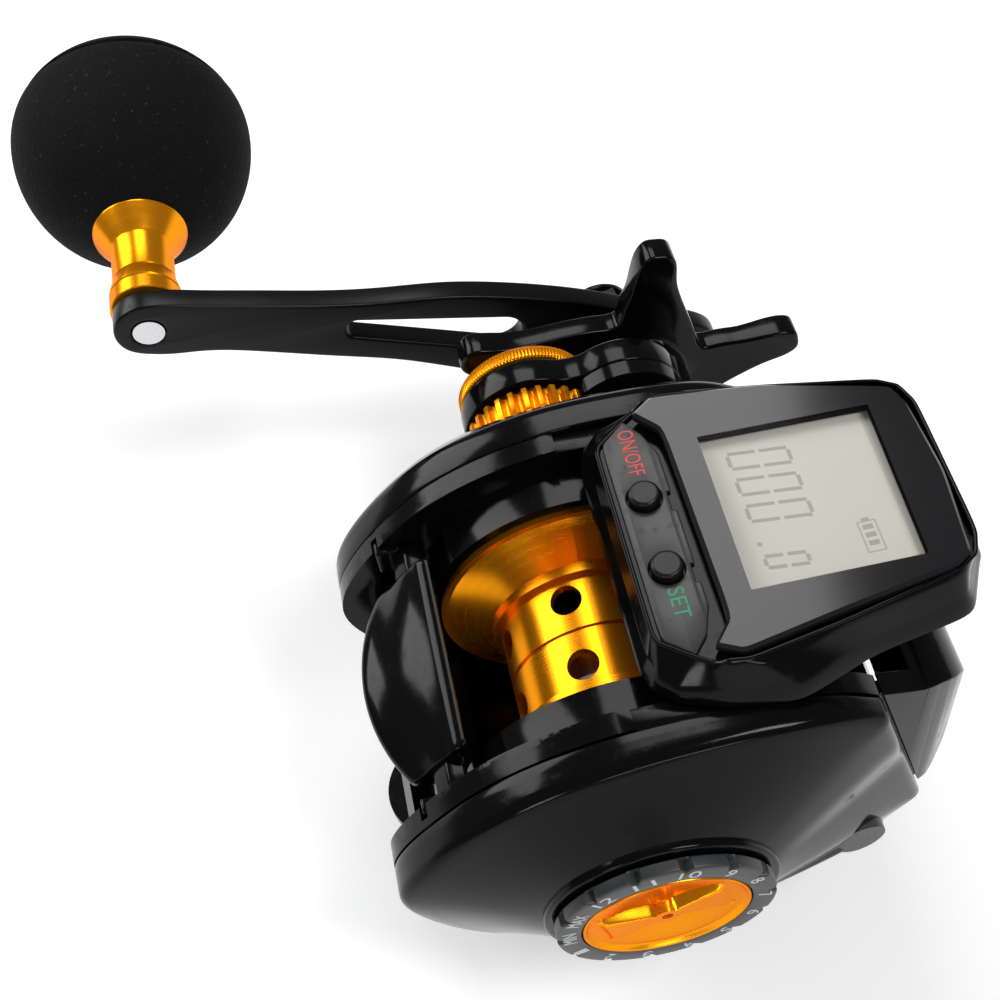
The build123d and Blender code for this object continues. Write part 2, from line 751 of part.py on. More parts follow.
# Star drag: hollow hub, disc and five broad paddles (shares of the reach: out, half width)
paddle_shares = [(0.31, 0.36), (0.47, 0.27), (0.586, 0.205), (0.66, 0.15), (0.74, 0.124),
                 (0.88, 0.108), (0.97, 0.066), (1.0, 0.023)]
paddle = [(out * star_reach, aside * star_reach) for out, aside in paddle_shares]
star_room = sleeve_back + 2 * overrun + fit
with BuildPart() as star_drag:
    tube(-star_start, -star_disc_start, star_hub_radius, centre=drive_centre)
    tube(-star_disc_start, -star_disc_end, star_disc_radius, centre=drive_centre)
    for index in range(star_arms):
        with BuildLine(mode=Mode.PRIVATE) as edge:
            curve = Spline(*paddle, *[(out, -aside) for out, aside in reversed(paddle)])
            Line(curve @ 1, curve @ 0)
        with BuildSketch(across(-star_disc_start)):
            with Locations(drive_centre):
                add(make_face(edge.line, mode=Mode.PRIVATE).rotate(Axis.Z, star_phase + index * 360 / star_arms))
        slab(-star_disc_start, -star_disc_end)
    tube(-star_start + overrun, -star_room, star_hub_radius - overrun, centre=drive_centre,
         mode=Mode.SUBTRACT)
    tube(-star_start + overrun, -star_disc_end - overrun, drive_radius + fit, centre=drive_centre,
         mode=Mode.SUBTRACT)
save(star_drag, "star_drag")

spacer_radius = 4.4
with BuildPart() as handle_spacer:
    tube(-star_disc_end - gap, -arm_inner, spacer_radius, drive_radius, centre=drive_centre)
save(handle_spacer, "handle_spacer")

# Handle arm: curved bar with a tapered window (shares of the crank's length from the drive axis)
arm_shares = [(-0.898, 0.377), (-0.828, 0.354), (-0.711, 0.317), (-0.593, 0.280), (-0.468, 0.250),
              (-0.342, 0.227), (-0.216, 0.188), (-0.086, 0.134), (0, 0.090), (0.067, 0.050),
              (0.183, -0.023), (0.211, -0.041), (0.242, -0.070), (0.256, -0.114), (0.220, -0.165),
              (0.137, -0.172), (0, -0.126), (-0.152, -0.093), (-0.338, -0.008), (-0.464, 0.063),
              (-0.588, 0.116), (-0.747, 0.184), (-0.866, 0.224), (-0.918, 0.233), (-0.967, 0.248),
              (-1.006, 0.273), (-1.020, 0.314), (-1.004, 0.359), (-0.956, 0.384)]
arm_points = [(drive_forward + out * handle_length, up * handle_length - drive_drop)
              for out, up in arm_shares]
arm_outer = arm_inner + arm_thickness
slot_foot = on_circle(drive_centre, handle_length - arm_slot_start, handle_angle)
slot_place = [on_circle(slot_foot, arm_slot_lift, handle_angle - 90),
              on_circle(drive_centre, handle_length - arm_slot_end, handle_angle)]
with BuildPart() as handle_arm:
    with BuildSketch(across(-arm_inner)) as arm_sketch:
        with BuildLine(mode=Mode.PRIVATE) as edge:
            Spline(*arm_points, periodic=True)
        add(make_face(edge.line, mode=Mode.PRIVATE))
        with BuildSketch(mode=Mode.PRIVATE) as rounds:
            draw_lobes([(slot_place[0], arm_slot_small), (slot_place[1], arm_slot_large)])
        add(make_hull(rounds.edges(), mode=Mode.PRIVATE), mode=Mode.SUBTRACT)
        with Locations(knob_centre):
            Circle(knob_pin_radius, mode=Mode.SUBTRACT)
        with Locations(drive_centre):
            Circle(drive_radius, mode=Mode.SUBTRACT)
    slab(-arm_inner, -arm_outer)
save(handle_arm, "handle_arm")

with BuildPart() as handle_nut:
    with BuildSketch(across(-arm_outer)):
        with Locations(drive_centre):
            RegularPolygon(nut_radius, 6)
            Circle(drive_radius, mode=Mode.SUBTRACT)
    slab(-arm_outer, -arm_outer - nut_height)
save(handle_nut, "handle_nut")

nut_back = arm_outer + nut_height
with BuildPart() as nut_retainer:
    with BuildSketch(across(-nut_back)):
        with Locations(drive_centre):
            Circle(nut_radius)
            Circle(cover_screw_radius, mode=Mode.SUBTRACT)
    slab(-nut_back, -nut_back - retainer_height)
save(nut_retainer, "nut_retainer")

with BuildPart() as retainer_screw:
    tube(-nut_back, -nut_back - retainer_height, cover_screw_radius, centre=drive_centre)
    tube(-nut_back - retainer_height, -nut_back - 2 * retainer_height, 2 * cover_screw_radius,
         centre=drive_centre)
save(retainer_screw, "retainer_screw")

# Knob: riveted pin, two bearings, gold stem with a flare, foam ball and end cap
near_turn = degrees(asin((flare_radius + ball_blend) / ball_radius))
far_turn = degrees(asin(cap_radius / ball_radius))
ball_flat_end = ball_centre + ball_far * cos(radians(far_turn))
pin_end = ball_flat_end - 3 * overrun
sleeve_end = ball_flat_end - overrun
with BuildPart() as knob_pin:
    turn([(-arm_inner, 0), (-pin_end, 0), (-pin_end, knob_shaft_radius), (-stem_start + gap, knob_shaft_radius),
          (-stem_start + gap, knob_pin_radius), (-arm_inner, knob_pin_radius)], centre=knob_centre)
save(knob_pin, "knob_pin")

inner_bearing = stem_start + overrun
outer_bearing = pin_end - overrun - knob_bearing_width
with BuildPart() as knob_bearings:
    for start in (inner_bearing, outer_bearing):
        tube(-start, -start - knob_bearing_width, knob_bearing_radius, knob_shaft_radius + fit,
             centre=knob_centre)
save(knob_bearings, "knob_bearings")

with BuildPart() as knob_stem:
    turn([(-stem_start, knob_shaft_radius + gap), (-stem_start, stem_ring_radius),
          (-stem_ring_end, stem_ring_radius), (-stem_neck_start, stem_neck_radius),
          (-flare_start, stem_neck_radius), (-flare_end + flare_rim, flare_radius),
          (-flare_end, flare_radius), (-flare_end, knob_sleeve_radius),
          (-sleeve_end, knob_sleeve_radius), (-sleeve_end, knob_shaft_radius + gap)], centre=knob_centre)
    for place, radius in ((stem_ring_end, stem_ring_radius), (stem_neck_start, stem_neck_radius)):
        tube(-place + fit, -place - 2 * fit, radius + overrun, radius - 2 * fit, centre=knob_centre,
             mode=Mode.SUBTRACT)
    tube(-inner_bearing, -inner_bearing - knob_bearing_width, knob_bearing_radius, centre=knob_centre,
         mode=Mode.SUBTRACT)
    tube(-outer_bearing, -sleeve_end - overrun, knob_bearing_radius, centre=knob_centre, mode=Mode.SUBTRACT)
save(knob_stem, "knob_stem")

# The ball's outline is two half ellipses of one radius, longer towards the crank
ball_steps = 5
near_angles = [near_turn + (90 - near_turn) * step / ball_steps for step in range(ball_steps + 1)]
far_angles = [far_turn + (90 - far_turn) * step / ball_steps for step in range(ball_steps)]
ball_points = [(-ball_centre + ball_near * cos(radians(angle)), ball_radius * sin(radians(angle)))
               for angle in near_angles]
ball_points += [(-ball_centre - ball_far * cos(radians(angle)), ball_radius * sin(radians(angle)))
                for angle in reversed(far_angles)]
lip_floor = ball_radius * sin(acos((lip_place - ball_centre) / ball_far)) - lip_depth
knob_origin = (0, knob_forward, spool_height + knob_rise)
with BuildPart() as eva_grip:
    with BuildSketch(Plane(origin=knob_origin, x_dir=(1, 0, 0), z_dir=(0, -1, 0))) as outline:
        with BuildLine():
            curve = Spline(*ball_points)
            Polyline(curve @ 1, (-ball_flat_end, knob_sleeve_radius), (-flare_end, knob_sleeve_radius),
                     (-flare_end, flare_radius), curve @ 0)
        make_face()
    revolve(outline.sketch, axis=Axis(knob_origin, (1, 0, 0)))
    tube(-lip_place, -lip_place - lip_width, ball_radius, lip_floor, centre=knob_centre,
         mode=Mode.SUBTRACT)
save(eva_grip, "eva_grip")

with BuildPart() as knob_cap:
    turn([(-sleeve_end, 0), (-sleeve_end, knob_sleeve_radius), (-ball_flat_end, knob_sleeve_radius),
          (-ball_flat_end, cap_radius), (-ball_flat_end - overrun, cap_radius - overrun),
          (-ball_flat_end - overrun, 0)], centre=knob_centre)
save(knob_cap, "knob_cap")

# Thumb bar: crescent bar across the frame behind the spool, with shoulders and guide lugs
thumb_points = [thumb_front_top, thumb_front_low, (thumb_rear[0] + 2 * overrun, thumb_rear[1] - 3 * overrun),
                (thumb_rear[0], thumb_rear[1]), (thumb_rear[0] + 1.5 * overrun, thumb_rear[1] + 2.6 * overrun),
                (thumb_front_top[0] - 4 * overrun, thumb_front_top[1] - overrun)]
crescent_radius = 23.0
with BuildPart() as thumb_bar:
    with BuildSketch(across(-thumb_half_width)):
        Polygon(*thumb_points, align=None)
    slab(-thumb_half_width, thumb_half_width)
    with BuildSketch(level(-half_height)):
        with Locations((0, thumb_rear[0] + crescent_radius)):
            Circle(2 * crescent_radius)
            Circle(crescent_radius, mode=Mode.SUBTRACT)
    extrude(amount=3 * half_height, mode=Mode.SUBTRACT)
    with BuildSketch(level(thumb_shoulder)):
        Rectangle(4 * thumb_half_width, 4 * half_length)
        Rectangle(2 * thumb_top_half_width, 4 * half_length, mode=Mode.SUBTRACT)
    extrude(amount=half_height, mode=Mode.SUBTRACT)
    lug_end = thumb_half_width + thumb_lug_length
    with BuildSketch(across(-lug_end)):
        with Locations(thumb_lug_place):
            Rectangle(*thumb_lug_size)
    slab(-lug_end, lug_end)
save(thumb_bar, "thumb_bar")

# Level wind: worm shaft and its gear, guide rod, carriage with a line eye, pawl
worm_palm_end = side_outer - cover_wall / 2 - gap
with BuildPart() as worm_shaft:
    tube(-worm_gear_face - worm_gear_width, worm_palm_end, worm_radius, centre=worm_centre)
save(worm_shaft, "worm_shaft")

with BuildPart() as worm_gear:
    with BuildSketch(across(-worm_gear_face)):
        with Locations(worm_centre):
            draw_gear(worm_teeth, worm_module,
                      degrees(atan2(drive_drop - worm_drop, worm_forward - drive_forward))
                      + 180 + 180 / worm_teeth)
            Circle(worm_radius, mode=Mode.SUBTRACT)
    slab(-worm_gear_face, -worm_gear_face - worm_gear_width)
save(worm_gear, "worm_gear")

with BuildPart() as guide_rod:
    tube(-rod_seat, rod_seat, guide_rod_radius, centre=rod_centre)
save(guide_rod, "guide_rod")

carriage_wall = 1.7
carriage_radius = worm_radius + carriage_wall
eye_centre = (0, worm_forward + carriage_radius, guide_eye_rise)
eye_length = 4.4
eye_width = 2.6
eye_wall = 0.6
guide_thickness = 2.0
with BuildPart() as line_guide:
    tube(-guide_half_width, guide_half_width, carriage_radius, centre=worm_centre)
    with BuildSketch(across(-guide_half_width)):
        back = guide_front - guide_thickness
        Polygon((worm_forward, -worm_drop), (guide_front, -worm_drop), (guide_front, guide_top_rise),
                (back, guide_top_rise), (back, carriage_radius), (worm_forward, carriage_radius / 2),
                align=None)
        Polygon((worm_forward - guide_thickness, -worm_drop), (worm_forward + guide_thickness, -worm_drop),
                (worm_forward + guide_thickness, rod_centre[1] - guide_thickness),
                (worm_forward - guide_thickness, rod_centre[1] - guide_thickness), align=None)
    slab(-guide_half_width, guide_half_width)
    tube(-guide_half_width - overrun, guide_half_width + overrun, worm_radius + fit, centre=worm_centre,
         mode=Mode.SUBTRACT)
    tube(-guide_half_width - overrun, guide_half_width + overrun, guide_rod_radius + fit,
         centre=rod_centre, mode=Mode.SUBTRACT)
    eye_plane = Plane(origin=(0, guide_front + overrun, spool_height + guide_eye_rise), x_dir=(1, 0, 0),
                      z_dir=(0, -1, 0))
    with BuildSketch(eye_plane):
        SlotOverall(eye_length + 2 * eye_wall, eye_width + 2 * eye_wall)
    extrude(amount=guide_thickness + 2 * overrun, mode=Mode.SUBTRACT)
save(line_guide, "line_guide")

with BuildPart() as guide_eye:
    with BuildSketch(Plane(origin=(0, guide_front, spool_height + guide_eye_rise), x_dir=(1, 0, 0),
                           z_dir=(0, -1, 0))):
        SlotOverall(eye_length + 2 * eye_wall, eye_width + 2 * eye_wall)
        SlotOverall(eye_length, eye_width, mode=Mode.SUBTRACT)
    extrude(amount=guide_thickness)
save(guide_eye, "guide_eye")

# Front cover: wraps the nose in front of the side plates, with a line opening above
nose_shares = [(0.81, 0.334), (0.93, 0.275), (0.985, 0.18), (1.0, 0.06), (0.995, -0.08), (0.965, -0.22)]
nose_inner_shares = [(0.915, 0.218), (0.952, 0.14), (0.952, -0.077), (0.861, -0.226)]
brow_points = [(out * nose_reach, up * nose_reach) for out, up in nose_shares]
brow_points += [(nose_foot[0] + nose_lap, nose_foot[1])]
nose_low = nose_inner_shares[-1][1] * nose_reach
nose_room = nose_top[0] - nose_wall
inner_points = [(nose_room, nose_top[1] + nose_wall), (nose_lip_start, nose_top[1] + nose_wall),
                (nose_lip_start, nose_top[1] - 2 * nose_wall)]
inner_points += [(out * nose_reach, up * nose_reach) for out, up in nose_inner_shares]
inner_points += [(nose_room, nose_low)]
nose_corner = 7.0
with BuildPart() as front_cover:
    with BuildSketch(across(-side_outer)):
        with BuildLine():
            brow = Spline(*brow_points)
            Polyline(brow @ 1, (nose_foot[0] + seam, nose_foot[1]), (nose_top[0] + seam, nose_top[1]), brow @ 0)
        make_face()
    slab(-side_outer, side_outer)
    with BuildSketch(level(-half_height)):
        Rectangle(4 * side_outer, 4 * half_length)
        RectangleRounded(2 * side_outer, 2 * nose_reach, nose_corner, mode=Mode.SUBTRACT)
    extrude(amount=2 * half_height, mode=Mode.SUBTRACT)
    with BuildSketch(across(-side_inner + gap)):
        Polygon(*inner_points, align=None)
    slab(-side_inner + gap, side_inner - gap, mode=Mode.SUBTRACT)
save(front_cover, "front_cover")

# Palm side cover: rim band, then a hill up to the dial, with the brake inside
palm_front_band = 0.6
brake_room_wall = 2.4
palm_front = side_outer + seam + palm_front_band
tilt = atan2(palm_band + gap - palm_front, half_length + nose_foot[0])


def hill_plane():
    """Plane of the hill's foot: full band height at the rear, almost none at the nose."""
    return Plane(origin=(palm_band - half_length * 0.05, 0, spool_height), x_dir=(-sin(tilt), cos(tilt), 0),
                 z_dir=(cos(tilt), sin(tilt), 0))


with BuildPart() as palm_side_cover:
    with BuildSketch(across(side_outer + seam)):
        draw_outline(palm_outline())
    slab(side_outer + seam, palm_band + 3 * overrun)
    split(bisect_by=hill_plane(), keep=Keep.BOTTOM)
    with BuildSketch(hill_plane()):
        draw_outline(inset(palm_outline(), gap))
    with BuildSketch(across(turret_base)):
        with BuildLine():
            top = on_circle((0, 0), turret_radius, 35)
            bottom = on_circle((0, 0), turret_radius, -25)
            ThreePointArc(top, (-turret_radius, 0), bottom)
            ThreePointArc(bottom, (turret_radius, 0), top)
        make_face()
    loft(ruled=True)
    tube(turret_base, turret_face, turret_radius - seam)
    tube(side_outer, bulkhead_inner, collar_inner, mode=Mode.SUBTRACT)
    turn([(bulkhead_outer, 0), (bulkhead_outer, turret_radius), (brake_room_end, turret_radius - brake_room_wall),
          (brake_room_end, 0)], mode=Mode.SUBTRACT)
    tube(palm_bearing_start - gap, bulkhead_inner, bearing_radius + core_wall)
    tube(palm_bearing_start - overrun, bulkhead_inner, bearing_radius, mode=Mode.SUBTRACT)
    tube(brake_room_end - overrun, turret_face + overrun, spindle_radius + fit, mode=Mode.SUBTRACT)
    tube(dial_base - overrun, turret_face + overrun, dial_cap_radius + gap, mode=Mode.SUBTRACT)
    leg_ring = (rotor_radius + core_inner) / 2 + fit
    leg_places = [on_circle((0, 0), leg_ring, index * 120) for index in range(3)]
    leg_radius = 1.1
    for place in leg_places:
        tube(bulkhead_inner - overrun, bulkhead_outer + overrun, leg_radius + gap, centre=place,
             mode=Mode.SUBTRACT)
    tube(side_outer, palm_band - overrun, lock_screw_radius - overrun, centre=lock_screw_place,
         mode=Mode.SUBTRACT)
    tube(palm_band - 2 * overrun, palm_band + 4 * overrun, lock_screw_radius + fit, centre=lock_screw_place,
         mode=Mode.SUBTRACT)
save(palm_side_cover, "palm_side_cover")

with BuildPart() as palm_lock_screw:
    tube(palm_band - 2 * overrun, palm_band, lock_screw_radius, centre=lock_screw_place)
    tube(side_outer, palm_band - 2 * overrun, lock_screw_radius - overrun - fit, centre=lock_screw_place)
save(palm_lock_screw, "palm_lock_screw")

# Magnet carrier: a ring in the spool's bore, on three legs, slid by the dial
carrier_start = hub_half_width + overrun
carrier_ring_end = half + 3 * overrun
carrier_disc = (bulkhead_outer + brake_room_end) / 2
magnet_length = 3.0
with BuildPart() as magnet_carrier:
    ring_outer = core_inner - gap
    ring_inner = rotor_radius + gap
    tube(carrier_start, carrier_ring_end, ring_outer, ring_inner)
    for place in leg_places:
        tube(carrier_ring_end, carrier_disc, leg_radius, centre=place)
    tube(carrier_disc - overrun / 2, carrier_disc + overrun / 2, leg_ring + leg_radius + gap, spindle_radius + fit)
    magnet_places = [on_circle((0, 0), leg_ring, index * 360 / magnet_count) for index in range(magnet_count)]
    for place in magnet_places:
        tube(carrier_start, carrier_start + magnet_length, magnet_radius, centre=place, mode=Mode.SUBTRACT)
save(magnet_carrier, "magnet_carrier")

with BuildPart() as brake_magnets:
    for place in magnet_places:
        tube(carrier_start, carrier_start + magnet_length, magnet_radius, centre=place)
save(brake_magnets, "brake_magnets")

# Brake dial: printed ring with notches, and a dished cap with a bow-tie grip
notch_count = 24
notch_radius = 0.35
with BuildPart() as dial_ring:
    with BuildSketch(across(dial_base)):
        Circle(dial_radius)
        Circle(dial_cap_radius, mode=Mode.SUBTRACT)
        with PolarLocations(dial_radius, notch_count):
            Circle(notch_radius, mode=Mode.SUBTRACT)
    slab(dial_base, dial_face)
save(dial_ring, "dial_ring")

bowl_floor = dial_base + dial_rim
grip_half = 1.1
with BuildPart() as dial_cap:
    cap_base = dial_base - overrun + gap
    turn([(cap_base, 0), (cap_base, dial_cap_radius), (dial_face, dial_cap_radius),
          (dial_face, dial_cap_radius - dial_rim), (bowl_floor + dial_rim, dial_cap_radius - 4 * dial_rim),
          (bowl_floor, dial_cap_radius / 2), (bowl_floor, 0)])
    with BuildSketch(across(bowl_floor)):
        Polygon((-dial_cap_radius + dial_rim, -2 * grip_half), (0, -grip_half),
                (dial_cap_radius - dial_rim, -2 * grip_half), (dial_cap_radius - dial_rim, 2 * grip_half),
                (0, grip_half), (-dial_cap_radius + dial_rim, 2 * grip_half), align=None, rotation=12)
    slab(bowl_floor, dial_face - dial_rim)
    tube(bulkhead_outer + gap, cap_base, spindle_radius)
    tube(dial_face, dial_face + overrun, 2 * dial_cap_radius, mode=Mode.SUBTRACT)
save(dial_cap, "dial_cap")

# Counter housing, plan shares of its half width and its length
counter_rear = 1.8
counter_reach = 39.9
foot_outline = [(13.0, counter_rear), (19.2, 7.6), (20.0, 16.5), (17.2, 26.0), (14.9, 36.4), (9.4, counter_reach)]
top_outline = [(12.8, 4.2), (16.6, 8.0), (17.3, 11.6), (15.6, 23.0), (12.3, 36.4), (8.8, 38.6)]
glass_outline = [(11.9, 11.1), (15.0, 8.9), (16.8, 11.5), (15.0, 22.4), (11.7, 35.4), (10.2, 37.0)]
counter_split = 24.0
recess_centre = 5.0
recess_length = 11.4
recess_width = 50.0


def mirrored(points):
    return points + [(-x, y) for x, y in reversed(points)]


def draw_plan(points, inset=0):
    """Draw a plan outline, mirrored about the middle of the reel."""
    with BuildLine(mode=Mode.PRIVATE) as edge:
        Polyline(*mirrored(points), close=True)
    face = make_face(edge.line, mode=Mode.PRIVATE)
    if inset:
        face = offset(face, amount=-inset, kind=Kind.INTERSECTION, mode=Mode.PRIVATE)
    add(face)


with BuildPart() as counter_housing:
    with BuildSketch(level(counter_seat)):
        draw_plan(foot_outline, inset=overrun)
    with BuildSketch(level(counter_split)):
        draw_plan(foot_outline, inset=overrun / 4)
    loft(ruled=True)
    with BuildSketch(level(counter_split)):
        draw_plan(foot_outline, inset=overrun / 4)
    with BuildSketch(level(glass_top - glass_gap)):
        draw_plan(top_outline)
    loft(ruled=True)
    with BuildSketch(level(counter_seat)):
        draw_plan(foot_outline, inset=counter_wall + overrun)
    extrude(amount=panel_under - counter_seat, mode=Mode.SUBTRACT)
    with BuildSketch(level(panel_top)):
        with Locations((0, recess_centre)):
            Rectangle(recess_width, recess_length)
    extrude(amount=glass_top, mode=Mode.SUBTRACT)
    with BuildSketch(level(glass_top - glass_thickness)):
        draw_plan(glass_outline)
    extrude(amount=glass_top, mode=Mode.SUBTRACT)
    with BuildSketch(level(panel_under - overrun)):
        with Locations(((lcd_left + lcd_right) / 2, (lcd_rear + lcd_front) / 2)):
            Rectangle(lcd_right - lcd_left + 2 * lcd_margin, lcd_front - lcd_rear + 2 * lcd_margin)
    extrude(amount=glass_top, mode=Mode.SUBTRACT)
    with BuildSketch(level(panel_under - overrun)):
        with Locations((-button_place, button_forward), (button_place, button_forward)):
            Circle(button_radius + fit)
    extrude(amount=glass_top, mode=Mode.SUBTRACT)
save(counter_housing, "counter_housing")

with BuildPart() as counter_base:
    with BuildSketch(level(counter_seat)):
        draw_plan(foot_outline, inset=counter_wall + overrun + fit)
    extrude(amount=base_thickness)
save(counter_base, "counter_base")

with BuildPart() as counter_glass:
    with BuildSketch(level(glass_top - glass_thickness)):
        draw_plan(glass_outline, inset=fit)
    extrude(amount=glass_thickness)
save(counter_glass, "counter_glass")

with BuildPart() as lcd_panel:
    with BuildSketch(level(lcd_base)):
        with Locations(((lcd_left + lcd_right) / 2, (lcd_rear + lcd_front) / 2)):
            Rectangle(lcd_right - lcd_left + 2 * lcd_margin - 2 * fit,
                      lcd_front - lcd_rear + 2 * lcd_margin - 2 * fit)
    extrude(amount=lcd_top - lcd_base)
save(lcd_panel, "lcd_panel")

board_rear = 5.2
board_front = 34.6
with BuildPart() as circuit_board:
    with BuildSketch(level(board_base)):
        with Locations((0, (board_rear + board_front) / 2)):
            Rectangle(lcd_right - lcd_left, board_front - board_rear)
    extrude(amount=board_thickness)
save(circuit_board, "circuit_board")

with BuildPart() as coin_cell:
    with BuildSketch(level(counter_seat + base_thickness)):
        with Locations((0, (lcd_rear + lcd_front) / 2)):
            Circle(cell_radius)
    extrude(amount=cell_thickness)
save(coin_cell, "coin_cell")

for side, name in ((-1, "power_button"), (1, "set_button")):
    with BuildPart() as button:
        with BuildSketch(level(panel_under - button_flange - seam)):
            with Locations((side * button_place, button_forward)):
                Circle(button_radius + button_flange)
        extrude(amount=button_flange)
        with BuildSketch(level(panel_under - seam)):
            with Locations((side * button_place, button_forward)):
                Circle(button_radius)
        extrude(amount=button_top - panel_under + seam)
        fillet(button.edges().group_by(Axis.Z)[-1], radius=button_flange)
    save(button, name)
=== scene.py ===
# %% [markdown]
# A low-profile fishing reel with a line counter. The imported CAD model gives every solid,
# in metres, with the foot's flat underside at z = 0. This file dresses it: first a few
# tools for surfaces and finishes, then one cell for each piece, from the frame outwards.

# %% Load the frame
import json
import math
import bmesh
import bpy
import numpy as np
from mathutils import Matrix, Vector
from mathutils.geometry import tessellate_polygon


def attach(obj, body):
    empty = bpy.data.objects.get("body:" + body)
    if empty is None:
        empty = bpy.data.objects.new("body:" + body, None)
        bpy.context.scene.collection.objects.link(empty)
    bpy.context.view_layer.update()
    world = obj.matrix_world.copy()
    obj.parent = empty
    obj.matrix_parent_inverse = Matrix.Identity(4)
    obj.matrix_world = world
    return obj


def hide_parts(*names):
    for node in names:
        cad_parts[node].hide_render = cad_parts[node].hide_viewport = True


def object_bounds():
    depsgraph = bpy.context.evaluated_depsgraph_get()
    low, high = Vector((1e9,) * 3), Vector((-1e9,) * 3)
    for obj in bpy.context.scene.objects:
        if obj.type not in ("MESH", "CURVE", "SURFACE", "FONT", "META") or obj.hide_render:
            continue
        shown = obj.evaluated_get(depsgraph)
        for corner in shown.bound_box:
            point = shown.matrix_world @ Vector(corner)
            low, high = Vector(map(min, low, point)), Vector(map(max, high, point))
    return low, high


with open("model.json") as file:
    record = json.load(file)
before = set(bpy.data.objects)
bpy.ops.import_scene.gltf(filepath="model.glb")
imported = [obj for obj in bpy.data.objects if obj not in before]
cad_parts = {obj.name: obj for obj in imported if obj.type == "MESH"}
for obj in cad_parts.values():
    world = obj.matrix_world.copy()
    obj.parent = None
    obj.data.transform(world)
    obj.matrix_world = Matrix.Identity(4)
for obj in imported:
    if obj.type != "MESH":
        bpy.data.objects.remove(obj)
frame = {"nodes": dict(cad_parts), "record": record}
cad_box = [list(map(float, corner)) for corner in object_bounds()]
MM = 0.001
SPOOL_Z = 22.5
DRIVE = np.array([15.0, -9.7])
KNOB = np.array([-47.4, 10.8])
SPOOL = np.array([0.0, 0.0])
print("nodes in the frame:", len(frame["nodes"]))

# %% [markdown]
# The picture was taken from above the palm side, rather close. The camera stands where the
# reel's circles and straight edges put it. Its own axes are right, up and back.

# %% Camera
CAMERA_AT = Vector((85.53, -13.18, 180.89)) * MM
RIGHT = Vector((0.1978, 0.9751, -0.1004))
DOWN = Vector((0.7902, -0.2192, -0.5723))
AHEAD = Vector((-0.5800, 0.0339, -0.8139))
camera_data = bpy.data.cameras.new("camera")
camera_data.sensor_width = 36.0
camera_data.lens = 54.35
camera_data.clip_start = 0.01
camera = bpy.data.objects.new("camera", camera_data)
bpy.context.scene.collection.objects.link(camera)
turn = Matrix((RIGHT, -DOWN, -AHEAD)).transposed().to_4x4()
camera.matrix_world = Matrix.Translation(CAMERA_AT) @ turn
bpy.context.scene.camera = camera
bpy.context.scene.view_settings.view_transform = "Standard"
print("camera at", [round(place / MM, 1) for place in CAMERA_AT], "mm")

# %% [markdown]
# Shader maths reads best as plain expressions. This class wraps a socket, so that adding,
# multiplying and comparing sockets adds Math nodes, and one method makes any other node.


# %% Shader expressions
class Wire:
    """One output socket of a node tree, with arithmetic on numbers."""

    def __init__(self, tree, socket):
        self.tree = tree
        self.socket = socket

    def maths(self, operation, *others, clamp=False):
        node = self.tree.nodes.new("ShaderNodeMath")
        node.operation = operation
        node.use_clamp = clamp
        for index, value in enumerate((self,) + others):
            plug(self.tree, node.inputs[index], value)
        return Wire(self.tree, node.outputs[0])

    def __add__(self, other):
        return self.maths("ADD", other)

    __radd__ = __add__

    def __sub__(self, other):
        return self.maths("SUBTRACT", other)

    def __rsub__(self, other):
        return (self * -1.0) + other

    def __mul__(self, other):
        return self.maths("MULTIPLY", other)

    __rmul__ = __mul__

    def __truediv__(self, other):
        return self.maths("DIVIDE", other)

    def above(self, limit, soft=1e-5):
        """0 below the limit and 1 above it, with a short straight ramp between."""
        return ((self - limit) / (2 * soft) + 0.5).maths("MULTIPLY", 1.0, clamp=True)

    def below(self, limit, soft=1e-5):
        return 1.0 - self.above(limit, soft)


def plug(tree, target, value):
    """Set a socket to a number or colour, or link a wire to it."""
    if isinstance(value, Wire):
        tree.links.new(value.socket, target)
    else:
        target.default_value = value


class Finish:
    """A material with one Principled shader, and short ways to add nodes to it."""

    def __init__(self, name, colour, roughness, metallic=0.0):
        self.material = bpy.data.materials.new(name)
        self.material.use_nodes = True
        self.tree = self.material.node_tree
        self.shader = self.tree.nodes["Principled BSDF"]
        self.set("Base Color", (*colour, 1.0))
        self.set("Roughness", roughness)
        self.set("Metallic", metallic)

    def set(self, socket, value):
        plug(self.tree, self.shader.inputs[socket], value)

    def node(self, kind, settings=None, out=0, **sockets):
        made = self.tree.nodes.new(kind)
        for key, value in (settings or {}).items():
            setattr(made, key, value)
        for key, value in sockets.items():
            plug(self.tree, made.inputs[key.replace("_", " ")], value)
        return Wire(self.tree, made.outputs[out])

    def place(self):
        """Object coordinates in metres, as a vector wire."""
        return self.node("ShaderNodeTexCoord", out="Object")

    def axes(self, place=None):
        split = self.tree.nodes.new("ShaderNodeSeparateXYZ")
        plug(self.tree, split.inputs[0], place or self.place())
        return [Wire(self.tree, split.outputs[index]) for index in range(3)]

    def noise(self, scale, detail=3.0, rough=0.5, place=None):
        """Noise from 0 to 1 with this many cells to a metre."""
        return self.node("ShaderNodeTexNoise", Vector=place or self.place(), Scale=scale,
                         Detail=detail, Roughness=rough)

    def mix(self, mask, first, second):
        """A colour between two colours, by a mask."""
        made = self.tree.nodes.new("ShaderNodeMix")
        made.data_type = "RGBA"
        plug(self.tree, made.inputs["Factor"], mask)
        for key, value in (("A", first), ("B", second)):
            socket = next(s for s in made.inputs if s.name == key and s.type == "RGBA")
            plug(self.tree, socket, value)
        return Wire(self.tree, next(s for s in made.outputs if s.type == "RGBA"))

    def bump(self, height, strength, distance):
        """Turn a height wire into a normal."""
        made = self.node("ShaderNodeBump", Height=height, Strength=strength, Distance=distance)
        self.set("Normal", made)


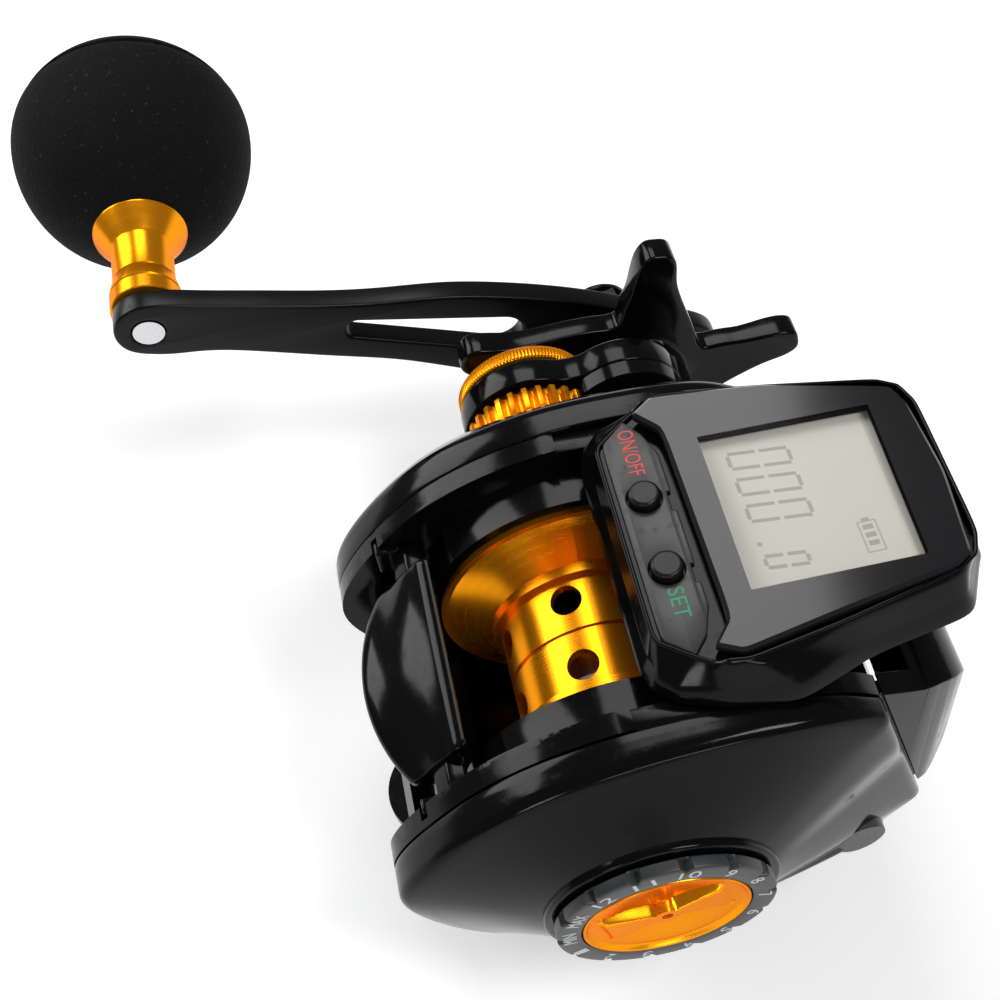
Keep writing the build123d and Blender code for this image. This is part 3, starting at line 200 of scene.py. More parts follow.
# %% [markdown]
# The finishes. The bodies are black plastic with a clear gloss, the crank is satin black
# paint, the spool and its trim are orange-gold anodised metal with turning marks, and the
# grip is foam with a fine speckle. What changes over a surface drives only its colour,
# roughness, see-through and bumps. A dyed metal keeps its hue at a glancing angle, so the
# gold's specular tint is orange too.


# %% Finishes
def gloss_black(name, colour, rough, shine):
    """Moulded or painted black: faint orange peel and fine dust under a thin gloss."""
    made = Finish(name, colour, rough)
    made.set("Specular IOR Level", shine)
    dust = made.noise(900.0, 4.0, 0.6)
    haze = made.noise(90.0, 2.0, 0.5)
    made.set("Roughness", haze * 0.08 + dust.above(0.62, 0.05) * 0.08 + (rough - 0.04))
    made.bump(made.noise(450.0, 2.0, 0.4), 0.02, 0.0004)
    return made.material


BLACK_BODY = gloss_black("black_body", (0.0022, 0.0022, 0.0025), 0.12, 0.13)
BLACK_ARM = gloss_black("black_arm", (0.0030, 0.0030, 0.0032), 0.30, 0.15)
BLACK_METAL = gloss_black("black_metal", (0.004, 0.004, 0.0042), 0.18, 0.18)
BLACK_STEEL = gloss_black("black_steel", (0.010, 0.010, 0.011), 0.3, 0.25)
SATIN_STEEL = gloss_black("satin_steel", (0.060, 0.060, 0.062), 0.38, 0.35)
PANEL = gloss_black("panel_black", (0.018, 0.017, 0.017), 0.3, 0.32)


GOLD = (0.90, 0.300, 0.005)
GOLD_LIGHT = (0.90, 0.300 * 1.12, 0.005 * 1.6)
GOLD_EDGE = (1.0, 0.45, 0.06)
RINGS_PER_METRE = 15000.0


def gold(name, centre):
    """Anodised metal with turning rings round an axis along X through centre: the height
    is sine of (radius + place across) times a wave number."""
    made = Finish(name, GOLD, 0.2, metallic=0.82)
    made.set("Specular Tint", (*GOLD_EDGE, 1.0))
    along, forward, rise = made.axes()
    off_y = forward - centre[0] * MM
    off_z = rise - (centre[1] + SPOOL_Z) * MM
    radius = (off_y * off_y + off_z * off_z).maths("SQRT")
    rings = (radius * RINGS_PER_METRE + along * RINGS_PER_METRE).maths("SINE") * 0.5 + 0.5
    broad = made.noise(160.0, 2.0, 0.5)
    made.set("Roughness", rings * 0.02 + broad * 0.06 + 0.22)
    made.set("Base Color", made.mix(broad, (*GOLD, 1.0), (*GOLD_LIGHT, 1.0)))
    made.bump(rings, 0.008, 0.00002)
    return made.material


GOLD_SPOOL = gold("gold_spool", SPOOL)
GOLD_KNOB = gold("gold_knob", KNOB)


def bare_metal(name, colour, rough):
    """Turned or plated metal with a faint grain along X."""
    made = Finish(name, colour, rough, metallic=1.0)
    stretched = made.node("ShaderNodeMapping", Vector=made.place(), Scale=(0.05, 1.0, 1.0))
    grain = made.noise(2500.0, 3.0, 0.6, stretched)
    made.set("Roughness", grain * 0.15 + (rough - 0.07))
    made.bump(grain, 0.06, 0.00003)
    return made.material


STEEL = bare_metal("steel", (0.62, 0.62, 0.63), 0.26)
ALUMINIUM = bare_metal("aluminium", (0.75, 0.75, 0.76), 0.35)
BRASS = bare_metal("brass", (0.78, 0.57, 0.25), 0.3)
MAGNET = bare_metal("magnet", (0.6, 0.6, 0.62), 0.18)


def moulded(name, colour, rough, grain_scale=1500.0, strength=0.12, shine=0.5):
    """Matt plastic or rubber with a fine moulded grain."""
    made = Finish(name, colour, rough)
    made.set("Specular IOR Level", shine)
    grain = made.noise(grain_scale, 3.0, 0.6)
    lighter = tuple(c * 1.5 + 0.004 for c in colour)
    made.set("Base Color", made.mix(grain, (*colour, 1.0), (*lighter, 1.0)))
    made.set("Roughness", grain * 0.14 + (rough - 0.07))
    made.bump(grain, strength, 0.0001)
    return made.material


GREY_PLASTIC = moulded("grey_plastic", (0.10, 0.10, 0.105), 0.5)
BUTTON = moulded("button_rubber", (0.002, 0.0025, 0.003), 0.34, 2200.0, 0.05, 0.25)
BOARD = moulded("board", (0.02, 0.12, 0.05), 0.3)
DIAL = moulded("dial_print", (0.020, 0.021, 0.022), 0.42, 2500.0, 0.05)
RED_INK = moulded("red_ink", (0.50, 0.035, 0.022), 0.5, 2500.0, 0.02)
GREEN_INK = moulded("green_ink", (0.008, 0.20, 0.085), 0.5, 2500.0, 0.02)
WHITE_INK = moulded("white_ink", (0.42, 0.43, 0.44), 0.5, 2500.0, 0.02)


def woven():
    """Carbon cloth: two sets of stripes that pass over and under each other."""
    made = Finish("carbon", (0.02, 0.02, 0.02), 0.35)
    _, forward, rise = made.axes()
    weave = (forward * 5000.0).maths("SINE") * (rise * 5000.0).maths("SINE")
    over = weave.above(0.0, 0.2)
    made.set("Base Color", made.mix(over, (0.012, 0.012, 0.012, 1), (0.05, 0.05, 0.05, 1)))
    return made.material


CARBON = woven()


def foam():
    """Closed-cell foam: cut cells as tiny pits, and a few pale specks of dust."""
    made = Finish("foam", (0.010, 0.010, 0.010), 0.9)
    made.set("Specular IOR Level", 0.1)
    cells = made.node("ShaderNodeTexVoronoi", Vector=made.place(), Scale=1700.0)
    fine = made.noise(2600.0, 4.0, 0.7)
    specks = made.noise(1500.0, 3.0, 0.75)
    mottle = made.noise(60.0, 3.0, 0.55)
    base = made.mix(mottle, (0.0036, 0.0036, 0.0040, 1), (0.0078, 0.0078, 0.0084, 1))
    dusty = made.mix(specks.above(0.675, 0.02) * 0.55, base, (0.075, 0.075, 0.08, 1))
    made.set("Base Color", dusty)
    made.set("Roughness", fine * 0.15 + 0.78)
    made.bump(cells * 0.7 + fine * 0.5, 0.55, 0.00022)
    return made.material


FOAM = foam()

# %% [markdown]
# The display is drawn in the shader, in millimetres of the plan. A figure is six bars, a
# seven-bar nought without its middle: two uprights in halves and two ends, all leaning.


# %% Display and glass
def within(wire, low, high):
    return wire.above(low, 0.03) * wire.below(high, 0.03)


def display():
    """Pale panel with the faint figures 000.0 and a battery with three bars."""
    made = Finish("lcd", (0.66, 0.635, 0.55), 0.6)
    made.set("Specular IOR Level", 0.1)
    x, y, _ = [axis / MM for axis in made.axes()]
    rise = y - 16.9
    lean = x - rise * 0.115

    def nought(left, width, height):
        bar = 0.44
        uprights = within(left, 0.0, bar) + within(left, width - bar, width)
        halves = within(rise, 0.3, height / 2 - 0.22)
        halves = halves + within(rise, height / 2 + 0.22, height - 0.3)
        ends = within(rise, 0.0, bar) + within(rise, height - bar, height)
        return uprights * halves + ends * within(left, 0.5, width - 0.5)

    figures = nought((lean + 7.9).maths("FLOORED_MODULO", 3.5), 2.45, 6.9) * within(lean, -7.95, 1.6)
    point = within(lean, 4.0, 4.5) * within(rise, 0.0, 0.5)
    figures = figures + nought(lean - 5.6, 1.85, 4.8) + point
    shell = within(x, 4.3, 8.2) * within(y, 27.4, 29.4)
    shell = shell - within(x, 4.45, 8.05) * within(y, 27.55, 29.25)
    bars = within((x - 4.75).maths("FLOORED_MODULO", 1.0), 0.0, 0.62) * within(x, 4.7, 7.6)
    battery_tip = within(x, 3.9, 4.3) * within(y, 28.0, 28.8)
    figures = figures + shell + bars * within(y, 27.85, 28.95) + battery_tip
    # Painted shadow: the panel is mixed towards a darker colour along its rear end and its left side,
    # where the housing's rim shades it.
    painted_shadow = within(y, 32.2, 40.0) * 0.25 + within(x, -20.0, -9.1) * 0.12
    mottle = made.noise(40.0, 2.0, 0.5)
    pale = made.mix(mottle, (0.60, 0.585, 0.51, 1), (0.70, 0.675, 0.59, 1))
    inked = made.mix(figures.maths("MULTIPLY", 0.50, clamp=True), pale, (0.20, 0.19, 0.16, 1))
    made.set("Base Color", made.mix(painted_shadow, inked, (0.30, 0.29, 0.26, 1)))
    return made.material


def dark_glass():
    """A clear plate with a black back: solid all round, and clear over the display."""
    made = Finish("dark_glass", (0.010, 0.010, 0.011), 0.12)
    made.set("Specular IOR Level", 0.3)
    x, y, z = [axis / MM for axis in made.axes()]
    sides = (x - (y - 14.5) * 0.0374).above(-9.8, 0.02) * (x - (y - 14.4) * 0.0219).below(10.1, 0.02)
    ends = y.above(14.45, 0.02) * (y + x * 0.0255).below(32.97, 0.02)
    upper = z.above(SPOOL_Z + 27.5, 0.1)
    made.set("Alpha", 1.0 - sides * ends * (1.0 - upper * 0.10))
    smear = made.noise(55.0, 3.0, 0.6)
    made.set("Roughness", smear * 0.10 + 0.07)
    return made.material


LCD = display()
DARK_GLASS = dark_glass()
print("finishes:", len(bpy.data.materials))

# %% [markdown]
# Most covers of a reel are an outline in side view that is carried along the spool's axis
# and rolled over at its edges. So the tools below keep outlines as rows of (forward, rise)
# points, move them in or out, and skin a stack of them.

# %% Outline tools
def ways(angle):
    """Unit vectors (cosine, sine) at these angles in radians."""
    return np.stack([np.cos(angle), np.sin(angle)], -1)


def full_turn(count):
    """Angles in radians, evenly round one turn."""
    return np.linspace(0, 2 * np.pi, count, endpoint=False)


def spline_through(points, count, closed=False):
    """A smooth curve through points: cubic pieces whose slopes and bends agree, set by a
    tridiagonal system on chord length, with free ends, sampled evenly in chord length."""
    p = np.asarray(points, float)
    if closed:
        p = np.vstack([p[-3:], p, p[:4]])
    gaps = np.linalg.norm(np.diff(p, axis=0), axis=1)
    t = np.concatenate([[0], np.cumsum(gaps)])
    n = len(p)
    system = np.eye(n)
    right = np.zeros_like(p)
    inner = np.arange(1, n - 1)
    system[inner, inner - 1] = gaps[:-1]
    system[inner, inner] = 2 * (gaps[:-1] + gaps[1:])
    system[inner, inner + 1] = gaps[1:]
    slope = np.diff(p, axis=0) / gaps[:, None]
    right[1:-1] = 6 * np.diff(slope, axis=0)
    bend = np.linalg.solve(system, right)
    low, high = (t[3], t[3 + len(points)]) if closed else (t[0], t[-1])
    s = np.linspace(low, high, count, endpoint=not closed)
    k = np.clip(np.searchsorted(t, s, side="right") - 1, 0, n - 2)
    a = ((t[k + 1] - s) / gaps[k])[:, None]
    b = ((s - t[k]) / gaps[k])[:, None]
    h = gaps[k][:, None]
    return (a * p[k] + b * p[k + 1]
            + ((a ** 3 - a) * bend[k] + (b ** 3 - b) * bend[k + 1]) * h * h / 6)


def rounded(corners, steps=6):
    """A closed outline of straight runs and round corners. corners are (a, b, radius):
    each corner's arc touches both runs, and its points are worked out from its centre."""
    pts = np.array([c[:2] for c in corners], float)
    radii = np.array([c[2] for c in corners], float)
    back = np.roll(pts, 1, 0) - pts
    ahead = np.roll(pts, -1, 0) - pts
    len_back = np.linalg.norm(back, axis=1)
    len_ahead = np.linalg.norm(ahead, axis=1)
    u = back / len_back[:, None]
    v = ahead / len_ahead[:, None]
    half = np.arccos(np.clip((u * v).sum(1), -1, 1)) / 2
    reach = np.minimum(radii / np.tan(half), 0.48 * np.minimum(len_back, len_ahead))
    radii = reach * np.tan(half)
    middle = u + v
    length = np.maximum(np.linalg.norm(middle, axis=1), 1e-9)
    centre = pts + middle / length[:, None] * (radii / np.sin(half))[:, None]
    first = pts + u * reach[:, None] - centre
    last = pts + v * reach[:, None] - centre
    start = np.arctan2(first[:, 1], first[:, 0])
    sweep = (np.arctan2(last[:, 1], last[:, 0]) - start + np.pi) % (2 * np.pi) - np.pi
    share = np.linspace(0, 1, steps)[None, :]
    angle = start[:, None] + sweep[:, None] * share
    ring = centre[:, None, :] + radii[:, None, None] * ways(angle)
    return ring.reshape(-1, 2)


def circle(centre, radius, count=96):
    return np.asarray(centre) + radius * ways(full_turn(count))


def area(loop):
    """Half the sum of cross products: above zero for a loop that turns left."""
    nxt = np.roll(loop, -1, 0)
    return 0.5 * (loop[:, 0] * nxt[:, 1] - nxt[:, 0] * loop[:, 1]).sum()


def moved_in(loop, amount):
    """Each point moves square to its two edges, inwards for a positive amount."""
    sign = 1.0 if area(loop) > 0 else -1.0
    before = loop - np.roll(loop, 1, 0)
    after = np.roll(loop, -1, 0) - loop
    n1 = np.stack([-before[:, 1], before[:, 0]], -1)
    n2 = np.stack([-after[:, 1], after[:, 0]], -1)
    n1 = n1 / np.maximum(np.linalg.norm(n1, axis=1), 1e-9)[:, None]
    n2 = n2 / np.maximum(np.linalg.norm(n2, axis=1), 1e-9)[:, None]
    bisector = n1 + n2
    scale = 2.0 / np.maximum((bisector * bisector).sum(1), 0.8)
    return loop + sign * amount * bisector * scale[:, None]


def smooth_step(x):
    """x x (3 - 2 x), from 0 at 0 to 1 at 1, and level at both."""
    x = np.clip(x, 0.0, 1.0)
    return x * x * (3 - 2 * x)


def in_side(loop, across):
    """(forward, rise) points to (x, y, z), at one place across or one for each point."""
    across = np.broadcast_to(np.asarray(across, float), (len(loop),))
    return np.stack([across, loop[:, 0], loop[:, 1] + SPOOL_Z], -1)


def in_plan(loop, rise):
    """(across, forward) points to (x, y, z)."""
    rise = np.broadcast_to(np.asarray(rise, float), (len(loop),))
    return np.stack([loop[:, 0], loop[:, 1], rise + SPOOL_Z], -1)


# %% [markdown]
# A mesh is made once, from a list of parts: each part is a grid of points, or a flat cap
# with its holes. Doubles are merged, so that the piece is one closed skin, and the sharp
# edges are marked by angle, so that rolled edges catch the light and flats stay flat.


# %% Mesh tools
def grid_faces(rows, columns, start):
    """Quads between neighbouring rows of a grid, closed round each row."""
    r = np.arange(rows - 1)[:, None]
    c = np.arange(columns)[None, :]
    nxt = (c + 1) % columns
    here, above = r * columns, (r + 1) * columns
    quads = np.stack([here + c, here + nxt, above + nxt, above + c], -1)
    return (quads.reshape(-1, 4) + start).tolist()


WELD = 0.002 * MM
BEVEL_ANGLE = 30.0


class Skin:
    """Collects grids and caps in millimetres, then makes one object of them."""

    def __init__(self):
        self.points = []
        self.faces = []
        self.count = 0

    def grid(self, rings):
        rings = np.asarray(rings, float)
        rows, columns = rings.shape[:2]
        self.faces += grid_faces(rows, columns, self.count)
        self.points.append(rings.reshape(-1, 3))
        self.count += rows * columns
        return self

    def cap(self, *loops):
        """A flat face inside the first loop and outside the others."""
        rings = [[Vector(p) for p in loop] for loop in loops]
        triangles = tessellate_polygon(rings)
        self.faces += [[self.count + i for i in t] for t in triangles]
        flat = np.vstack([np.asarray(loop, float) for loop in loops])
        self.points.append(flat)
        self.count += len(flat)
        return self

    def block(self, rings):
        """A grid with a flat cap at each end."""
        return self.grid(rings).cap(rings[0]).cap(rings[-1])

    def closed(self, rings):
        """A grid whose last ring meets its first."""
        return self.grid(rings + rings[:1])

    def make(self, name, material, body, slot, replaces=(), sharp=32.0):
        mesh = bpy.data.meshes.new(name)
        mesh.from_pydata((np.vstack(self.points) * MM).tolist(), [], self.faces)
        work = bmesh.new()
        work.from_mesh(mesh)
        bmesh.ops.remove_doubles(work, verts=work.verts, dist=WELD)
        bmesh.ops.dissolve_degenerate(work, edges=work.edges, dist=WELD * 0.5)
        bmesh.ops.recalc_face_normals(work, faces=work.faces)
        work.to_mesh(mesh)
        work.free()
        return finish_piece(name, mesh, material, body, replaces, sharp)


def finish_piece(name, mesh, material, body, replaces=(), sharp=32.0, bevel=0.0):
    """Shade and paint one piece, hang it on its body, and hide the CAD nodes that it replaces. sharp is
    the angle in degrees above which an edge stays an edge, and bevel the width of a rolled edge in
    millimetres."""
    piece = bpy.data.objects.new(name, mesh)
    bpy.context.scene.collection.objects.link(piece)
    mesh.materials.clear()
    mesh.materials.append(material)
    mesh.polygons.foreach_set("use_smooth", np.ones(len(mesh.polygons), bool))
    mesh.set_sharp_from_angle(angle=math.radians(sharp))
    if bevel:
        rim = piece.modifiers.new("rim", "BEVEL")
        rim.width = bevel * MM
        rim.segments = 3
        rim.limit_method = "ANGLE"
        rim.angle_limit = math.radians(BEVEL_ANGLE)
        rim.use_clamp_overlap = True
    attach(piece, body)
    if replaces:
        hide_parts(*replaces)
    print(f"{name}: {len(mesh.vertices)} points, {len(mesh.polygons)} faces")
    return piece


def roll(radius, steps=5):
    """A quarter turn as (inset, depth) pairs, from the flat face to the wall."""
    angle = np.linspace(0, np.pi / 2, steps)
    return [(radius * (1 - math.sin(a)), radius * (1 - math.cos(a))) for a in angle]


def wall_steps(low, high, edges):
    """(inset, depth) pairs up one wall: a rolled edge, the wall, and a rolled edge again.
    The inset is radius times one less sine, and the depth radius times one less cosine."""
    way = 1.0 if high > low else -1.0
    steps = [(inset, low + way * depth) for inset, depth in roll(edges[0])]
    return steps + [(inset, high - way * depth) for inset, depth in reversed(roll(edges[1]))]


def plate(loop, holes, low, high, edges, place):
    """A plate with rolled edges. holes are loops, and place is in_side or in_plan."""
    skin = Skin()
    ends = [[], []]
    for ring, sign in [(loop, 1.0)] + [(hole, -1.0) for hole in holes]:
        walls = [place(moved_in(ring, sign * inset), depth)
                 for inset, depth in wall_steps(low, high, edges)]
        skin.grid(walls)
        ends[0].append(walls[0])
        ends[1].append(walls[-1])
    return skin.cap(*ends[0]).cap(*ends[1])


def turned(path, centre, count):
    """A closed path of (across, radius) points, turned about an axis along X."""
    path = np.asarray(path, float)
    angle = full_turn(count)
    rings = np.stack([np.broadcast_to(path[:, 0:1], (len(path), count)),
                      centre[0] + path[:, 1:2] * np.cos(angle)[None, :],
                      centre[1] + SPOOL_Z + path[:, 1:2] * np.sin(angle)[None, :]], -1)
    return Skin().grid(rings)


# %% Paint the CAD nodes
NODE_FINISH = {
    "black_body": BLACK_BODY, "black_arm": BLACK_ARM, "black_metal": BLACK_METAL,
    "black_steel": BLACK_STEEL, "gold_metal": GOLD_SPOOL, "aluminium": ALUMINIUM, "steel": STEEL,
    "brass": BRASS, "magnet": MAGNET, "grey_plastic": GREY_PLASTIC, "carbon": CARBON,
    "dial_print": DIAL, "foam": FOAM, "board": BOARD, "button_rubber": BUTTON, "lcd": LCD,
    "dark_glass": DARK_GLASS,
}
slots = {part["node"]: part["material_slot"] for part in frame["record"]["subparts"]}
for node_name, node_object in frame["nodes"].items():
    finish = NODE_FINISH.get(slots[node_name])
    if node_name == "knob_stem":
        finish = GOLD_KNOB
    if finish:
        node_object.data.materials.clear()
        node_object.data.materials.append(finish)
print("painted nodes:", len(slots))

# %% [markdown]
# The nose of the reel narrows on the palm side: a point moves in by TAPER s s millimetres,
# where s counts from 0 behind the display's rear edge to 1 near the nose. The move fades
# out towards the middle of the reel.


# %% Taper of the nose
TAPER = 1.4
TAPER_START = 14.0
TAPER_LENGTH = 18.0
FADE_START = 10.0
FADE_LENGTH = 7.0
FLAT_ANGLE = 0.3
CUT_STEP = 3
CUT_END = 40


def tapered(points):
    """Points in millimetres, drawn in towards the middle at the nose on the palm side."""
    made = np.array(points, float)
    share = np.clip((made[:, 1] - TAPER_START) / TAPER_LENGTH, 0.0, 1.1)
    weight = np.clip((made[:, 0] - FADE_START) / FADE_LENGTH, 0.0, 1.0)
    made[:, 0] -= TAPER * share * share * weight
    return made


def narrow(piece):
    """Taper a finished piece's own mesh."""
    mesh = piece.data
    flat = np.empty(len(mesh.vertices) * 3)
    mesh.vertices.foreach_get("co", flat)
    moved = tapered(flat.reshape(-1, 3) / MM) * MM
    mesh.vertices.foreach_set("co", moved.ravel())
    mesh.update()


def eased(node, material, width):
    """A CAD node's shape with its edges eased: a copy is merged, its flat faces joined
    into one each, cut across so that it can taper, and a bevel rolls the edges."""
    source = frame["nodes"][node]
    work = bmesh.new()
    work.from_mesh(source.data)
    bmesh.ops.transform(work, matrix=source.matrix_world, verts=work.verts)
    bmesh.ops.remove_doubles(work, verts=work.verts, dist=0.5 * WELD)
    bmesh.ops.dissolve_limit(work, angle_limit=math.radians(FLAT_ANGLE), verts=work.verts,
                             edges=work.edges, use_dissolve_boundaries=False)
    for forward in range(int(TAPER_START), CUT_END, CUT_STEP):
        everything = work.verts[:] + work.edges[:] + work.faces[:]
        bmesh.ops.bisect_plane(work, geom=everything, dist=1e-7,
                               plane_co=(0, forward * MM, 0), plane_no=(0, 1, 0))
    mesh = bpy.data.meshes.new(node + "_eased")
    work.to_mesh(mesh)
    work.free()
    narrow(finish_piece(node + "_eased", mesh, material, "body", (node,), 30.0,
                        width))


# %% [markdown]
# The side outlines are the ones that the CAD draws: smooth curves from the nose over the
# top to the back and under, closed by the straight seam at the nose.

# %% Side outlines
NOSE_TOP = (26.2, 15.4)
NOSE_FOOT = (34.1, -12.8)
TOP_SIDE = [(20.0, 19.8), (10.0, 21.89), (0.0, 22.0), (-9.31, 20.02), (-16.5, 16.39),
            (-21.78, 11.66), (-26.4, 5.83)]
GEAR_BACK = [(-28.91, -0.99), (-26.6, -8.49), (-20.0, -14.96), (-10.89, -18.92)]
PALM_BACK = [(-27.65, 2.2), (-26.73, -1.98), (-24.09, -7.04), (-19.6, -12.6), (-13.86, -16.4),
             (-3.96, -18.9), (6.6, -19.14), (21.45, -17.6), (30.69, -15.4)]
DRIVE_LOBE = 17.71
LOBE = [tuple(place) for place in DRIVE + DRIVE_LOBE * ways(np.radians([-135, -105, -75, -45]))]
OUTLINE_COUNT = 220
SEAM_COUNT = 22


def side_outline(knots):
    curve = spline_through(knots, OUTLINE_COUNT)
    seam = np.linspace(curve[-1], curve[0], SEAM_COUNT)[1:-1]
    return np.vstack([curve, seam])


GEAR_OUTLINE = side_outline([NOSE_TOP] + TOP_SIDE + GEAR_BACK + LOBE + [NOSE_FOOT])
PALM_OUTLINE = side_outline([NOSE_TOP] + TOP_SIDE + PALM_BACK + [NOSE_FOOT])
print("points of a side outline:", len(GEAR_OUTLINE))

# %% [markdown]
# The palm cover is a band, a crease, and a hill that runs up to the round seat of the
# brake dial. Each ring is a mix of the outline and the dial's circle, so the surface is
# ring(u) = (1 - u) outline + u circle, with its place across rising along the mix.


# %% Palm side cover
COVER_SEAM = 19.4
COVER_EDGE = 19.7
SEAT_RADIUS = 13.1
SEAT_START = 28.0
CREASE_MIX = 0.07
CREASE_DEPTH = 1.0
CREASE_CLIMB = 0.42
SEAT_STEPS = ((0.0, 28.25), (0.0, 28.55), (0.08, 28.75), (0.25, 28.88), (0.6, 28.9),
              (3.5, 28.9), (3.5, 27.6))


def neighbours_mean(loop):
    """Each point drawn to its neighbours: a quarter of each and a half of itself."""
    return (np.roll(loop, 1, 0) + 2 * loop + np.roll(loop, -1, 0)) / 4


def cover_edge(outline, side):
    """A cover's first rings: a narrow lip at the seam, rolled on to the band."""
    steps = ((0.9, COVER_SEAM), (0.2, COVER_SEAM), (0.05, COVER_SEAM + 0.1), (0.0, COVER_EDGE))
    return [in_side(moved_in(outline, inset), side * depth) for inset, depth in steps]


def palm_cover():
    outline = PALM_OUTLINE
    seat = SEAT_RADIUS * ways(np.arctan2(outline[:, 1], outline[:, 0]))
    forward = outline[:, 0]
    foot = 22.75 - 0.025 * forward - 1.3 * smooth_step((forward - 28.0) / 2.5)
    rings = cover_edge(outline, 1.0)
    for share in (0.35, 0.7):
        rings.append(in_side(outline, COVER_EDGE + (foot - CREASE_DEPTH - COVER_EDGE) * share))
    # The crease: a short curve from the band's straight wall on to the hill's slope
    for t in np.linspace(0, 1, 7):
        mix = CREASE_MIX * t * t
        depth = foot - CREASE_DEPTH * (1 - t) ** 2 + CREASE_CLIMB * t * t
        rings.append(in_side((1 - mix) * outline + mix * seat, depth))
    # The hill: nearly straight, and its rings are smoothed most on the way up
    for t in np.linspace(0.12, 1.0, 26):
        mix = CREASE_MIX + (1 - CREASE_MIX) * t
        ring = (1 - mix) * outline + mix * seat
        for _ in range(int(60 * min(t, 0.5) * (1 - t))):
            ring = neighbours_mean(ring)
        climb = CREASE_CLIMB + (SEAT_START - foot - CREASE_CLIMB) * (t ** 1.08)
        rings.append(in_side(ring, foot + climb))
    for inset, depth in SEAT_STEPS:
        rings.append(in_side(seat * (SEAT_RADIUS - inset) / SEAT_RADIUS, depth))
    narrow(Skin().block(rings).make("palm_cover_shell", BLACK_BODY, "body", "black_body",
                                    ("palm_side_cover",), sharp=40))


palm_cover()

# %% [markdown]
# The cover over the gears has the same band, then a shallow slope and a flat face, which
# the round bosses stand on. The face's outline is the band's, drawn in by its own amount
# at the back, top, front and bottom.


# %% Gear side cover
def drawn_in(loop, rear, top, front, bottom):
    """Each point moves by its share of the half length and half height."""
    share_y = loop[:, 0] / 33.0
    share_z = loop[:, 1] / 22.0
    move_y = -front * np.maximum(share_y, 0) + rear * np.maximum(-share_y, 0)
    move_z = -top * np.maximum(share_z, 0) + bottom * np.maximum(-share_z, 0)
    return loop + np.stack([move_y, move_z], -1)


def union_of_circles(circles, count=240):
    """The outline round several overlapping circles, by the furthest hit of a ray from
    their middle."""
    middle = np.mean([c for c, r in circles], axis=0)
    way = ways(full_turn(count))
    reach = np.zeros(count)
    for centre, radius in circles:
        off = np.asarray(centre) - middle
        along = way @ off
        inside = radius ** 2 - (off @ off - along ** 2)
        hit = np.where(inside > 0, along + np.sqrt(np.maximum(inside, 0)), 0)
        reach = np.maximum(reach, hit)
    return middle + way * reach[:, None]


LOBES = [((12.4, 1.0), 8.1), (tuple(DRIVE), 9.8)]
WHEEL_ROOM = 9.35
BOSS_STEPS = ((2.2, -29.9), (2.5, -30.6), (2.5, -35.4), (0.3, -35.6), (0.0, -35.9),
              (0.0, -38.0), (0.2, -38.2))


def gear_cover():
    outline = GEAR_OUTLINE
    face = drawn_in(outline, 6.5, 8.4, 3.0, 2.2)
    rings = cover_edge(outline, -1.0) + [in_side(outline, -21.2)]
    # The crease and the slope, as on the palm side, but they end on the flat face
    slope = [(0.10 * t * t, -23.3 + 1.1 * (1 - t) ** 2 - 0.55 * t * t)
             for t in np.linspace(0, 1, 7)]
    slope += [(0.10 + 0.9 * t, -23.85 - 6.15 * t ** 0.92) for t in np.linspace(0.15, 0.9, 8)]
    rings += [in_side((1 - mix) * outline + mix * face, depth) for mix, depth in slope]
    for inset, depth in ((0.0, -29.75), (0.35, -29.95), (0.8, -30.0)):
        rings.append(in_side(moved_in(face, inset), depth))
    # The bosses: their wall stays clear of the tension wheel, which turns beside them
    boss = union_of_circles(LOBES)
    walls = []
    for inset, depth in BOSS_STEPS:
        ring = moved_in(boss, inset)
        reach = np.linalg.norm(ring, axis=1)[:, None]
        walls.append(in_side(ring * np.maximum(1, WHEEL_ROOM / reach), depth))
    Skin().block(rings).block(walls).make("gear_cover_shell", BLACK_BODY, "body", "black_body",
                                          ("gear_side_cover",), sharp=40)


gear_cover()

# %% [markdown]
# The frame, the front cover and the lock screw keep their CAD shapes, with eased edges and
# the taper of the nose. A thin strip closes each guide slot of the thumb bar outside.

# %% Frame and front cover
eased("frame", BLACK_BODY, 0.35)
eased("front_cover", BLACK_BODY, 0.7)
eased("palm_lock_screw", SATIN_STEEL, 0.8)


def nose_liner():
    """A strip behind the seam at the nose, so that no light shows through it."""
    top, foot = np.array(NOSE_TOP), np.array(NOSE_FOOT)
    side = np.array([1.0, 0.0])
    strip = np.array([top - 0.9 * side, top + 0.9 * side, foot + 0.9 * side, foot - 0.9 * side])
    strip += (foot - top) * np.array([0.04, 0.04, -0.04, -0.04])[:, None]
    skin = Skin()
    for start, stop in ((-18.4, -16.9), (16.9, 18.4)):
        skin.block([in_side(strip, start), in_side(strip, stop)])
    narrow(skin.make("nose_liner", BLACK_BODY, "body", "black_body", sharp=30))


def slot_covers():
    """A strip along each outline's rear, 5.5 mm wide towards a point inside the reel."""
    skin = Skin()
    inside = np.array([-15.0, 4.0])
    for outline, start, stop in ((PALM_OUTLINE, 18.3, 19.2), (GEAR_OUTLINE, -18.3, -19.2)):
        rim = outline[(outline[:, 0] < -15.0) & (outline[:, 1] > 3.0)]
        middle = rim.mean(0)
        inner = rim + 5.5 * (inside - middle) / np.linalg.norm(middle - inside)
        strip = np.vstack([rim, inner[::-1]])
        skin.block([in_side(moved_in(strip, inset), depth) for inset, depth in
                    ((0.0, start), (0.0, stop * 0.995), (0.12, stop))])
    skin.make("slot_covers", BLACK_BODY, "body", "black_body", sharp=35)


nose_liner()
slot_covers()

# %% [markdown]
# The counter's housing is a stack of plan outlines: a flared foot, a steep wall and a
# narrow brim that climbs from the buttons to the glass. Corners are listed for one half.
# A loop is rounded by averaging each point with its neighbours a few times.


# %% Counter housing
def both_sides(half):
    return half + [(-x, y) for x, y in reversed(half)]


